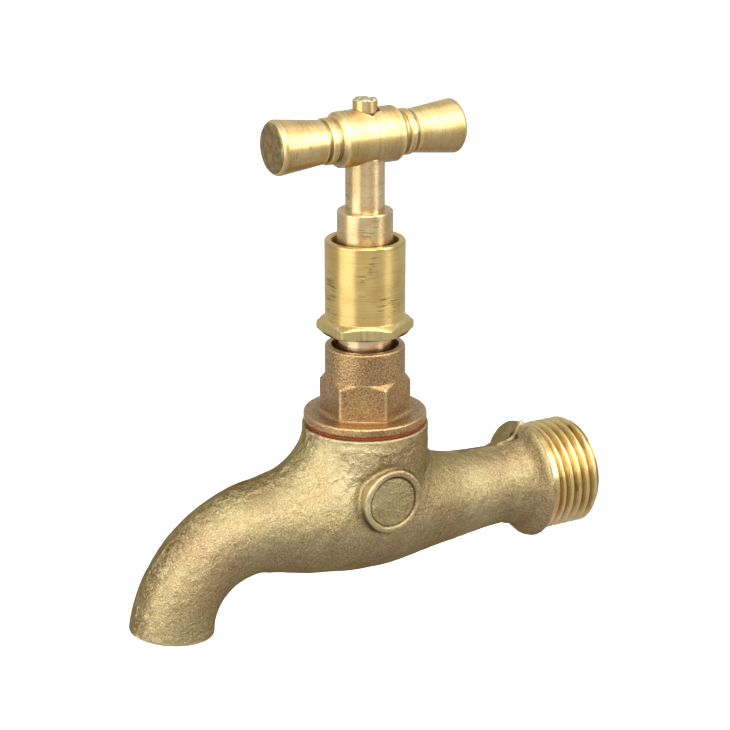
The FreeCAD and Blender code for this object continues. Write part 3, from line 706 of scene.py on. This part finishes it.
def stretch(tree, value, low, high, at_low, at_high):
    """A value stretched so that low and high become at_low and at_high, and held there beyond."""
    inputs = {0: value, 1: low, 2: high, 3: at_low, 4: at_high}
    return add(tree, "ShaderNodeMapRange", inputs).outputs[0]


def work_out(tree, operation, *values):
    """Arithmetic on one or two values."""
    return add(tree, "ShaderNodeMath", dict(enumerate(values)), operation=operation).outputs[0]


def from_level(tree, value, level):
    """How far a value is from a level, on either side."""
    return work_out(tree, "ABSOLUTE", work_out(tree, "SUBTRACT", value, level))


def bump(tree, height, strength, depth, **more):
    """Relief that follows a pattern, with its depth in millimetres."""
    inputs = {"Height": height, "Strength": strength, "Distance": depth * MM, **more}
    return add(tree, "ShaderNodeBump", inputs).outputs[0]


def stored(tree, name):
    """The piece's own number of that name."""
    return add(tree, "ShaderNodeAttribute", {}, attribute_name=name).outputs[2]


def new_finish(name):
    """An empty material with its shader, and the Object coordinates for its patterns."""
    material = bpy.data.materials.new(name)
    material.use_nodes = True
    tree = material.node_tree
    tree.nodes.clear()
    shader = add(tree, "ShaderNodeBsdfPrincipled", {})
    add(tree, "ShaderNodeOutputMaterial", {0: shader.outputs[0]})
    spot = add(tree, "ShaderNodeTexCoord", {}).outputs["Object"]
    return material, tree, shader, spot


MOST_WEAR_AND_HIGHLIGHT = 0.6
MOST_DARKENED = 0.85


def worn_lit_and_shaded(tree, colour, faint, full, pale, dark):
    """A colour made paler where the piece's number "edge" is over 0, for wear and painted highlight, and
    darker where it is under 0, for painted shade.
    """
    edge = stored(tree, "edge")
    paler = blend(tree, stretch(tree, edge, faint, full, 0.0, MOST_WEAR_AND_HIGHLIGHT), colour, pale)
    return blend(tree, stretch(tree, edge, -faint, -full, 0.0, MOST_DARKENED), paler, dark)


def sand_cast_brass():
    """Brass as it comes from a sand mould and a tumbler: matt olive gold with a grain of pits and peaks
    drawn 0.3 mm coarse so that it shows, brighter on worn edges, with painted shade in the corners, a
    painted highlight on the necks and painted shade on the spout's back, with browner patches 9 mm wide
    and a few small dark pits. The piece's own number "crust" brings up millimetre flakes with dark
    cracks between them."""
    material, tree, shader, spot = new_finish("sand_cast_brass")
    grain = noise(tree, spot, 0.30, 3.0, Roughness=0.7)
    lumpy = noise(tree, spot, 1.5, 4.0, Roughness=0.5)
    patch = noise(tree, spot, 9.0, 3.0, Roughness=0.6)
    flakes = noise(tree, spot, 1.5, 4.0, Roughness=0.6, Distortion=0.8)
    holes = add(tree, "ShaderNodeTexVoronoi", {"Vector": spot, "Scale": per_mm(3.6)}).outputs[0]
    crust = stored(tree, "crust")
    tone = ramp(tree, grain, (0.34, "#776648"), (0.5, "#a8966e"), (0.66, "#d4c69f"))
    warm = ramp(tree, patch, (0.38, "#a4845a"), (0.62, "#b5a671"))
    colour = blend(tree, 0.42, tone, warm)
    crack = stretch(tree, from_level(tree, flakes, 0.47), 0.004, 0.04, 0.8, 0.0)
    flaked = blend(tree, work_out(tree, "MULTIPLY", crack, crust), colour, "#5d4c2a")
    # Paler on worn edges and with a painted highlight on the necks; darker with painted shade in the
    # corners and on the spout's back.
    worn_with_painted_light = worn_lit_and_shaded(tree, flaked, 0.35, 1.6, "#e6d8a8", "#4f3c22")
    pitted = blend(tree, stretch(tree, holes, 0.02, 0.075, 0.7, 0.0), worn_with_painted_light, "#4a3b20")
    coarse = bump(tree, lumpy, 0.5, 0.5, Normal=bump(tree, grain, 1.0, 0.14))
    raised = bump(tree, work_out(tree, "MULTIPLY", flakes, crust), 1.0, 1.5, Normal=coarse)
    sockets = {
        "Base Color": pitted,
        "Roughness": stretch(tree, lumpy, 0.3, 0.7, 0.54, 0.40),
        "Normal": raised,
        "Metallic": 1.0,
        "Specular Tint": linear("#928c80"),
    }
    give(tree, shader, sockets)
    return material


def drawn_round(tree, spot, axis, share, **more):
    """Coordinates that draw a pattern out round an axis, to its size over the share."""
    scale = [share, share, share]
    scale[axis] = 1.0
    return add(tree, "ShaderNodeMapping", {"Vector": spot, "Scale": scale, **more}).outputs[0]


def turned_brass(
    name, low, high, stain, axis, roughness, groove, scuffs,
    drawn_out=0.75, pauses=0.15, cut=0.4, speckled=0.4,
):
    """Brass bar turned on a lathe: fine rings round the axis, drawn coarse enough to show, that draw
    highlights out along it, a thin darker line every few millimetres where the tool paused, faint
    clouds, a fine speckle drawn 0.3 mm coarse, and short dark scuffs that follow the rings."""
    material, tree, shader, spot = new_finish(name)
    rings = noise(tree, drawn_round(tree, spot, axis, 0.03), groove, 3.0)
    cloud = noise(tree, spot, 4.0, 3.0, Roughness=0.5)
    tone = ramp(tree, cloud, (0.30, low), (0.70, high))
    dashes = drawn_round(tree, spot, axis, 0.1, Location=(0.02, 0.01, 0.03))
    scuff = noise(tree, dashes, 0.26, 2.0, Roughness=0.5)
    region = noise(tree, spot, 5.0, 1.0)
    both = work_out(tree, "MULTIPLY", scuff, region)
    scuffed = blend(tree, stretch(tree, both, 0.34, 0.41, 0.0, scuffs), tone, stain)
    place_along = add(tree, "ShaderNodeSeparateXYZ", {0: spot}).outputs[axis]
    feed_inputs = {"W": place_along, "Scale": per_mm(2.2), "Detail": 1.0}
    feed = add(tree, "ShaderNodeTexNoise", feed_inputs, noise_dimensions="1D").outputs[0]
    pause = stretch(tree, from_level(tree, feed, 0.5), 0.0, 0.02, pauses, 0.0)
    paused = blend(tree, pause, scuffed, stain)
    speck = stretch(tree, noise(tree, spot, 0.3, 2.0), 0.55, 0.75, 0.0, speckled)
    colour = blend(tree, speck, paused, stain)
    round_axis = add(tree, "ShaderNodeTangent", {}, direction_type="RADIAL", axis="XYZ"[axis])
    # The number "edge" pales worn edges and paints shade where it is under 0: in the handle's neck,
    # grooves and underside, and in the thread's roots.
    sockets = {
        "Base Color": worn_lit_and_shaded(tree, colour, 0.05, 1.0, "#f6e8bc", "#4c3818"),
        "Roughness": stretch(tree, rings, 0.3, 0.7, roughness * 0.85, roughness * 1.2),
        "Normal": bump(tree, rings, cut, 0.04),
        "Tangent": round_axis.outputs[0],
        "Anisotropic": drawn_out,
        "Anisotropic Rotation": 0.25,
        "Metallic": 1.0,
    }
    give(tree, shader, sockets)
    return material


def forged_brass():
    """Redder brass, hot-pressed and shot-blasted: a dull reddish gold with a sandy grain drawn 0.3 mm
    coarse, in patches 5 mm wide."""
    material, tree, shader, spot = new_finish("forged_brass")
    grain = noise(tree, spot, 0.33, 3.0, Roughness=0.6)
    patch = noise(tree, spot, 5.0, 2.0, Roughness=0.5)
    tone = ramp(tree, grain, (0.36, "#785a37"), (0.64, "#dab98a"))
    warm = ramp(tree, patch, (0.35, "#a07a4e"), (0.65, "#c4a06c"))
    # Paler on worn edges, darker with the bonnet's painted shadow round the hexagon's foot.
    worn_with_painted_light = worn_lit_and_shaded(tree, blend(tree, 0.4, tone, warm), 0.05, 1.0, "#f2d8aa", "#5a3f20")
    relief = bump(tree, grain, 1.0, 0.13)
    give(tree, shader, {"Base Color": worn_with_painted_light, "Normal": relief, "Metallic": 1.0, "Roughness": 0.36})
    return material


def beaten_brass(name, low, middle, high, wide, deep):
    """Brass bar as the saw and a hammer left it: rough and dented, with dents of the given width and
    depth in millimetres, darker at their bottoms."""
    material, tree, shader, spot = new_finish(name)
    dents = noise(tree, spot, wide, 3.0, Roughness=0.55)
    tone = ramp(tree, dents, (0.34, low), (0.50, middle), (0.66, high))
    relief = bump(tree, dents, 0.8, deep)
    give(tree, shader, {"Base Color": tone, "Normal": relief, "Metallic": 1.0, "Roughness": 0.48})
    return material


def milled_brass():
    """Brass hexagon milled along its flats: pale straw with fine lines up the faces, 0.3 mm apart."""
    material, tree, shader, spot = new_finish("milled_brass")
    upward = add(tree, "ShaderNodeMapping", {"Vector": spot, "Scale": (1.0, 1.0, 0.06)}).outputs[0]
    lines = noise(tree, upward, 0.3, 2.0)
    tone = ramp(tree, lines, (0.25, "#bca566"), (0.75, "#dcc790"))
    relief = bump(tree, lines, 0.4, 0.05)
    give(tree, shader, {"Base Color": tone, "Normal": relief, "Metallic": 1.0, "Roughness": 0.42})
    return material


def grime_and_shade():
    """Old grease and cutting dust in a joint, and painted shade in its crevice: almost black brown,
    matt, with a 0.4 mm crumb.
    """
    material, tree, shader, spot = new_finish("grime_and_shade")
    tone = ramp(tree, noise(tree, spot, 0.4, 2.0), (0.35, "#1d150b"), (0.65, "#3f2f18"))
    give(tree, shader, {"Base Color": tone, "Roughness": 0.7})
    return material


def vulcanised_fibre():
    """Red vulcanised fibre: hard pressed paper, matt brown red with faint 0.6 mm clouds."""
    material, tree, shader, spot = new_finish("vulcanised_fibre")
    tone = ramp(tree, noise(tree, spot, 0.6, 4.0), (0.3, "#5c2210"), (0.7, "#8c3c1c"))
    give(tree, shader, {"Base Color": tone, "Roughness": 0.7, "Specular IOR Level": 0.25})
    return material


def graphited_yarn():
    """Plaited yarn soaked in graphite grease: near black with a soft grey shine on 0.8 mm strands."""
    material, tree, shader, spot = new_finish("graphited_yarn")
    inputs = {"Vector": spot, "Scale": per_mm(0.8) / 6, "Distortion": 3.0}
    strands = add(tree, "ShaderNodeTexWave", inputs).outputs[0]
    tone = ramp(tree, strands, (0.1, "#141414"), (0.9, "#3c3c3e"))
    give(tree, shader, {"Base Color": tone, "Normal": bump(tree, strands, 0.6, 0.2), "Roughness": 0.5})
    return material


def nitrile_rubber():
    """Moulded nitrile rubber: black, with a faint grey bloom in 1.5 mm clouds."""
    material, tree, shader, spot = new_finish("nitrile_rubber")
    tone = ramp(tree, noise(tree, spot, 1.5, 3.0), (0.35, "#101010"), (0.7, "#262625"))
    give(tree, shader, {"Base Color": tone, "Roughness": 0.62})
    return material


ALONG_X = 0
ALONG_Z = 2

CAST = sand_cast_brass()
FORGED = forged_brass()
BRIGHT = turned_brass(
    "turned_brass_bright", "#d2b06a", "#e4c782", "#6b5228", ALONG_Z,
    roughness=0.33, groove=0.22, scuffs=0.6, speckled=0.1,
)
DULL = turned_brass(
    "turned_brass_stained", "#cdb07c", "#e4cc9a", "#7a5e34", ALONG_Z,
    roughness=0.34, groove=0.25, scuffs=0.6,
)
GRIP = turned_brass(
    "turned_brass_grip", "#d6b676", "#ecd498", "#8f6c40", ALONG_X,
    roughness=0.38, groove=0.24, scuffs=0.35, drawn_out=0.4, pauses=0.25, cut=0.22,
)
THREAD = turned_brass(
    "cut_thread_brass", "#d0ae68", "#edd596", "#7a5a2c", ALONG_X,
    roughness=0.30, groove=0.35, scuffs=0.6,
)
# Turned brass for the gland nut's neck, paler and pinker: a painted reflection of the bonnet and the
# bright surroundings.
NECK_WITH_PAINTED_REFLECTION = turned_brass(
    "turned_brass_neck_painted_reflection", "#e4c294", "#f8e6c4", "#7a5230", ALONG_Z,
    roughness=0.22, groove=0.3, scuffs=0.3, speckled=0.1,
)
MILLED = milled_brass()
SAWN = beaten_brass("sawn_brass", "#7c6c46", "#8e7b50", "#a28e60", 1.1, 0.3)
BEATEN = beaten_brass("beaten_brass", "#7d6a44", "#cfbf92", "#f6ecca", 0.7, 0.5)
GRIME_AND_SHADE = grime_and_shade()
FIBRE = vulcanised_fibre()
YARN = graphited_yarn()
RUBBER = nitrile_rubber()


# The pieces. A profile's corners are a radius, a height, a rounding, and HEX where a hexagon cuts them.

casting = place("casting", *tap_casting(), "body", "tap_body", "cast_brass", CAST)
mark(casting, "edge", bend_of_casting)
mark(casting, "crust", crust_on_casting)
inlet = place("threaded_inlet", *inlet_end(), "body", "tap_body", "cast_brass", THREAD)
mark(inlet, "edge", height_on_thread)

WASHER_PROFILE = [
    (8.45, 18.4, 0.05),
    (11.05, 18.4, 0.12),
    (11.05, 19.0, 0.12),
    (8.45, 19.0, 0.05),
]
place("fibre_washer", *turned(WASHER_PROFILE), "body", "bonnet_washer", "fibre", FIBRE)

HEXAGON_COLUMNS = 240
BONNET_FLATS = 14.7
BONNET_TURN = 57.0
BONNET_CORNER = BONNET_FLATS / math.sqrt(3)
FLANGE_TOP = 20.7
BONNET_PROFILE = [
    (4.88, 13.0, 0.1),
    (7.8, 13.0, 0.2),
    (8.4, 13.6, 0.2),
    (8.4, 19.0, 0.05),
    (11.15, 19.0, 0.15),
    (11.4, 19.25, 0.15),
    (11.4, 20.45, 0.2),
    (11.15, FLANGE_TOP, 0.2),
    (10.2, FLANGE_TOP, 0.0),
    (9.4, FLANGE_TOP, 0.0),
    (8.62, FLANGE_TOP, 0.1),
    (BONNET_CORNER, 20.78, 0.15, HEX),
    (BONNET_CORNER, 26.5, 0.3, HEX),
    (7.45, 27.5, 0.3, HEX),
    (7.4, 27.6, 0.2),
    (7.4, 33.2, 0.2),
    (7.15, 33.45, 0.15),
    (6.2, 33.45, 0.1),
    (6.2, 30.85, 0.15),
    (5.0, 30.85, 0.1),
    (5.0, 23.65, 0.1),
    (3.66, 23.65, 0.05),
    (3.66, 22.65, 0.05),
    (4.88, 22.65, 0.1),
]


def off_axis(points):
    """How far points are from the spindle's axis."""
    return np.hypot(points[:, 0] - SPINDLE_X, points[:, 1])


def bonnet_edges(points):
    """How worn the bonnet is: most on the hexagon's corners, at its foot and on the rims of flange and
    top. Under 0, painted shadow on the flange round the hexagon's foot."""
    x, y, z = from_spindle(points)
    off = off_axis(points)
    from_corner = np.abs((np.degrees(np.arctan2(y, x)) - BONNET_TURN) % 60.0 - 30.0)
    on_hexagon = (z > 20.9) & (z < 27.0) & (off > 7.6)
    corner = np.where(on_hexagon, 0.8 * hump(from_corner, 0.0, 1.8), 0.0)
    foot = 0.4 * hump(z, 20.85, 0.15) * (off < 9.0)
    rim = 0.3 * hump(z, 20.6, 0.15) * (off > 11.1)
    top = 0.4 * fade(z, 33.2, 33.4)
    # Painted shadow on the flange round the hexagon's foot.
    dull = 0.5 * hump(off, 8.9, 0.9) * (np.abs(z - FLANGE_TOP) < 0.05)
    return np.maximum(np.maximum(corner, foot), np.maximum(rim, top)) - dull


bonnet_shape = turned(BONNET_PROFILE, HEXAGON_COLUMNS, BONNET_FLATS, BONNET_TURN)
bonnet = place("bonnet_forging", *bonnet_shape, "body", "bonnet", "bonnet_brass", FORGED)
mark(bonnet, "edge", bonnet_edges)

GLAND_FLATS = 15.6
GLAND_TURN = 2.0
GLAND_CORNER = GLAND_FLATS / math.sqrt(3)
GLAND_PROFILE = [
    (3.66, 27.65, 0.05),
    (4.7, 27.65, 0.1),
    (4.95, 27.9, 0.1),
    (4.95, 36.2, 0.1),
    (7.6, 36.25, 0.1),
    (GLAND_CORNER - 0.7, 36.25, 0.1, HEX),
    (GLAND_CORNER, 36.6, 0.15, HEX),
    (GLAND_CORNER, 37.85, 0.15, HEX),
    (7.45, 38.7, 0.1, HEX),
    (7.36, 38.78, 0.1),
    (7.36, 53.05, 0.15),
    (7.11, 53.3, 0.12),
    (6.32, 53.3, 0.12),
    (6.07, 53.05, 0.12),
    (6.07, 39.95, 0.2),
    (3.66, 39.95, 0.1),
]


def on_gland_hexagon(middles):
    """The gland nut's hexagon, with its chamfers."""
    z = middles[:, 2]
    return (z > 36.2) & (z < 38.74) & (off_axis(middles) > 7.4)


def on_gland_neck(middles):
    """The gland nut's neck below the hexagon."""
    return (middles[:, 2] < 36.2) & (off_axis(middles) > 4.8)


gland_shape = turned(GLAND_PROFILE, HEXAGON_COLUMNS, GLAND_FLATS, GLAND_TURN)
gland = place("gland_sleeve", *gland_shape, "body", "gland_nut", "turned_brass", BRIGHT)
dress(gland, MILLED, on_gland_hexagon)
# The neck's paler, pinker brass is a painted reflection.
dress(gland, NECK_WITH_PAINTED_REFLECTION, on_gland_neck)

SPINDLE_PROFILE = [
    (0.0, 15.85, 0.0),
    (1.83, 15.85, 0.0),
    (1.83, 8.85, 0.1),
    (4.2, 8.85, 0.1),
    (4.8, 9.45, 0.1),
    (4.8, 18.95, 0.1),
    (4.2, 19.55, 0.1),
    (3.58, 19.55, 0.1),
    (3.58, 46.7, 0.1),
    (4.6, 46.7, 0.15),
    (5.1, 47.2, 0.15),
    (5.1, 58.5, 0.05),
    (4.9, 58.7, 0.05),
    (3.58, 58.7, 0.12),
    (3.58, 68.4, 0.1),
    (3.3, 68.5, 0.1),
    (2.25, 68.5, 0.1),
    (2.25, 78.7, 0.06),
    (2.05, 78.93, 0.06),
    (0.0, 78.93, 0.0),
]


def collar_edge(points):
    """Bright on the rim of the collar's top."""
    return 0.9 * hump(points[:, 2], 58.6, 0.15) * (off_axis(points) > 4.8)


shaft_points, shaft_faces = capped(SPINDLE_PROFILE, columns=160, step=0.5)
shaft_points = shaft_points + np.array([SPINDLE_X, 0.0, 0.0])

# A hammer has dented the tenon's top: hollows up to 0.24 mm deep, and peaks up to 0.04 mm high.
dent = lumps(shaft_points, 0.9, 12) * fade(shaft_points[:, 2], 78.3, 78.7)
shaft_points[:, 2] += 0.14 * dent - 0.10 * np.abs(dent)
spindle = place("spindle_bar", shaft_points, shaft_faces, "spindle", "spindle", "spindle_brass", DULL)
mark(spindle, "edge", collar_edge)
dress(spindle, BEATEN, lambda middles: middles[:, 2] > 78.66)

HANDLE_Z = 72.0
HUB_RADIUS = 5.05
HALF_BAR = [
    (HUB_RADIUS, 5.65, 0.08),
    (4.2, 6.5, 0.08),
    (3.85, 6.55, 0.05),
    (3.85, 7.15, 0.05),
    (4.1, 7.25, 0.06),
    (4.22, 7.45, 0.08),
    (4.22, 8.4, 0.08),
    (4.05, 8.55, 0.06),
    (3.72, 8.6, 0.05),
    (3.72, 9.15, 0.05),
    (3.98, 9.25, 0.06),
    (5.0, 18.1, 0.4),
    (4.2, 18.9, 0.4),
    (0.0, 18.9, 0.0),
]

# Each edge or groove: how far it is from the spindle's axis, how wide, and how worn or, under 0, how
# dark with painted shade.
HANDLE_EDGES = [
    (5.65, 0.12, 0.8),
    (6.85, 0.22, -0.9),
    (7.4, 0.12, 0.5),
    (8.4, 0.12, 0.5),
    (8.88, 0.22, -1.0),
    (9.27, 0.12, 1.0),
    (18.5, 0.45, 0.35),
]


def handle_edges(points):
    """How worn the bar is, with painted shade: pale on sharp edges, painted shade in its neck and
    grooves, and painted shade below, browner."""
    away = np.abs(points[:, 0] - SPINDLE_X)
    # Painted shade on the bar's underside.
    under = 0.5 * fade(HANDLE_Z - points[:, 2], -1.5, 3.5)
    return -under + sum(much * hump(away, at, wide) for at, wide, much in HANDLE_EDGES)


bar = [(radius, -away, rounding) for radius, away, rounding in reversed(HALF_BAR)] + HALF_BAR
bar_points, bar_faces = capped(bar, columns=200, step=0.6)
across, up, along = bar_points.T
bar_points = np.stack([SPINDLE_X + along, across, HANDLE_Z + up], axis=-1)
handle = place("handle_bar", bar_points, bar_faces, "spindle", "handle", "handle_brass", GRIP)
mark(handle, "edge", handle_edges)
dress(handle, SAWN, lambda middles: np.abs(middles[:, 0] - SPINDLE_X) > 18.62)

# Each notch of the crevice: its angle and width in degrees, and how much wider it gapes there.
CREVICE = [(-88.0, 13.0, 0.42), (-40.0, 14.0, 0.28), (150.0, 12.0, 0.30), (60.0, 20.0, 0.15)]
CREVICE_FROM = 2.28
CREVICE_INSIDE = 2.15

# The lip's section: how far out from the crevice, and how high.
LIP = [(0.0, 0.05), (0.12, 0.12), (0.3, 0.06), (0.5, -0.04), (0.5, -0.35)]
LIP_RAGGED_ABOVE = 0.08
BURR_COLUMNS = 144


def lumps_round(degrees, wide, seed):
    """Bumps from -1 to 1 round the tenon, about so many degrees wide."""
    return lumps(np.stack([degrees / wide, degrees * 0, degrees * 0], axis=-1), 1.0, seed)


def crevice_edge(degrees):
    """How far out the crevice round the tenon reaches at an angle: a thin line with a few notches."""
    width = 0.10 + 0.06 * lumps_round(degrees, 9.0, 11)
    for middle, wide, more in CREVICE:
        apart = (degrees - middle + 180.0) % 360.0 - 180.0
        width = width + more * hump(apart, 0.0, wide)
    return CREVICE_FROM + width


def burr_at_tenon():
    """The joint where the tenon comes out of the hub: a crevice of uneven width round the tenon, near
    black with grime and painted shade, and a low ragged lip outside it, both lying on the hub's round
    top."""
    degrees = np.arange(BURR_COLUMNS) * 360.0 / BURR_COLUMNS
    gape = crevice_edge(degrees)
    inside = gape * 0 + CREVICE_INSIDE
    rows = [(inside, 0.05), (gape * 0.5 + CREVICE_FROM / 2, 0.045)]
    rows += [(gape + out, rise) for out, rise in LIP]
    rows += [(inside, -0.35)]
    radius = np.stack([row[0] for row in rows])
    ragged = 0.8 + 0.5 * lumps_round(degrees, 14.0, 13)
    height = np.stack([np.where(rise > LIP_RAGGED_ABOVE, rise * ragged, rise) for _, rise in rows])
    angle = np.radians(degrees)
    x = radius * np.cos(angle)
    y = radius * np.sin(angle)
    top = HANDLE_Z + np.sqrt(HUB_RADIUS ** 2 - y ** 2)
    points = np.stack([SPINDLE_X + x, y, top + height], axis=-1).reshape(-1, 3)
    return points, grid_faces(len(rows), BURR_COLUMNS, True)


def in_crevice(middles):
    """The faces between the tenon and the lip."""
    x, y, _ = from_spindle(middles)
    return off_axis(middles) < crevice_edge(np.degrees(np.arctan2(y, x)))


burr = place("tenon_burr", *burr_at_tenon(), "spindle", "handle", "handle_brass", GRIP)
# The crevice is near black: grime and painted shade.
dress(burr, GRIME_AND_SHADE, in_crevice)

for node, finish in (
    ("packing_ring_1", YARN),
    ("packing_ring_2", YARN),
    ("gland_washer", BRIGHT),
    ("jumper", DULL),
    ("seat_washer", RUBBER),
    ("keep_washer", BRIGHT),
    ("jumper_nut", BRIGHT),
):
    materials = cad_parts[node].data.materials
    materials.clear()
    materials.append(finish)


# The studio, in metres and watts

FLOOR_Z = -0.25
FLOOR_MIDDLE = Vector((0.0, 0.0, FLOOR_Z))
TAP_MIDDLE = Vector((SPINDLE_X * MM, 0.0, 0.03))

# Each light: its name, where it stands, what it faces, its width, its height and its power.
LIGHTS = (
    ("left_light", (-0.494, -0.064, 0.200), TAP_MIDDLE, 0.46, 0.60, 2.2),
    ("right_light", (0.247, -0.350, 0.300), TAP_MIDDLE, 0.16, 0.48, 1.65),
    ("front_light", (-0.17, -0.34, 0.44), TAP_MIDDLE, 0.35, 0.35, 2.1),
    ("top_light", (0.10, -0.05, 0.55), TAP_MIDDLE, 0.40, 0.40, 0.5),
    ("floor_light", (0.0, 0.0, 3.0), FLOOR_MIDDLE, 10.0, 10.0, 430.0),
)


def studio():
    """A plain pale floor as far below as a sink, a pale world that is dimmer below, and soft lights: a
    tall one on the left, a narrow one on the right, one in front, one overhead, and a wide one that
    whitens the floor."""
    bpy.context.scene.view_settings.view_transform = "Standard"
    world = bpy.data.worlds.new("studio")
    bpy.context.scene.world = world
    world.use_nodes = True
    sky = world.node_tree
    looking = add(sky, "ShaderNodeTexCoord", {}).outputs["Generated"]
    up = add(sky, "ShaderNodeSeparateXYZ", {0: looking}).outputs[2]
    level = stretch(sky, up, -1.0, 1.0, 0.0, 1.0)
    tone = ramp(sky, level, (0.08, "#cbc7d4"), (0.33, "#c6c6c6"), (0.60, "#d2d2d2"))
    give(sky, sky.nodes["Background"], {0: tone, 1: 1.0})
    floor_material, tree, shader, _ = new_finish("pale_floor")
    give(tree, shader, {"Base Color": linear("#f6f6f4"), "Roughness": 1.0})
    bpy.ops.mesh.primitive_plane_add(size=16.0, location=FLOOR_MIDDLE)
    floor = bpy.context.object
    floor.name = "floor"
    floor.data.materials.append(floor_material)
    floor.visible_glossy = False
    for name, stands, aim, width, height, power in LIGHTS:
        data = bpy.data.lights.new(name, "AREA")
        data.shape = "RECTANGLE"
        data.size = width
        data.size_y = height
        data.energy = power
        lamp = bpy.data.objects.new(name, data)
        lamp.location = stands
        lamp.rotation_euler = (aim - Vector(stands)).to_track_quat("-Z", "Y").to_euler()
        lamp.visible_glossy = name != "floor_light"
        bpy.context.scene.collection.objects.link(lamp)


CAMERA_AZIMUTH = math.radians(30.0)
CAMERA_ELEVATION = math.radians(18.7)
CAMERA_DISTANCE = 0.411
CAMERA_LENS = 110.47
CAMERA_TARGET = Vector((SPINDLE_X * MM, 0.0, 0.0292))


def camera():
    """A long lens at the photograph's angle: round towards the spout's side and a little above."""
    forward = Vector(
        (
            math.sin(CAMERA_AZIMUTH) * math.cos(CAMERA_ELEVATION),
            math.cos(CAMERA_AZIMUTH) * math.cos(CAMERA_ELEVATION),
            -math.sin(CAMERA_ELEVATION),
        )
    )
    data = bpy.data.cameras.new("camera")
    data.lens = CAMERA_LENS
    data.sensor_width = 36.0
    data.clip_start = 0.01
    eye = bpy.data.objects.new("camera", data)
    eye.location = CAMERA_TARGET - forward * CAMERA_DISTANCE
    eye.rotation_euler = forward.to_track_quat("-Z", "Y").to_euler()
    bpy.context.scene.collection.objects.link(eye)
    bpy.context.scene.camera = eye


studio()
camera()
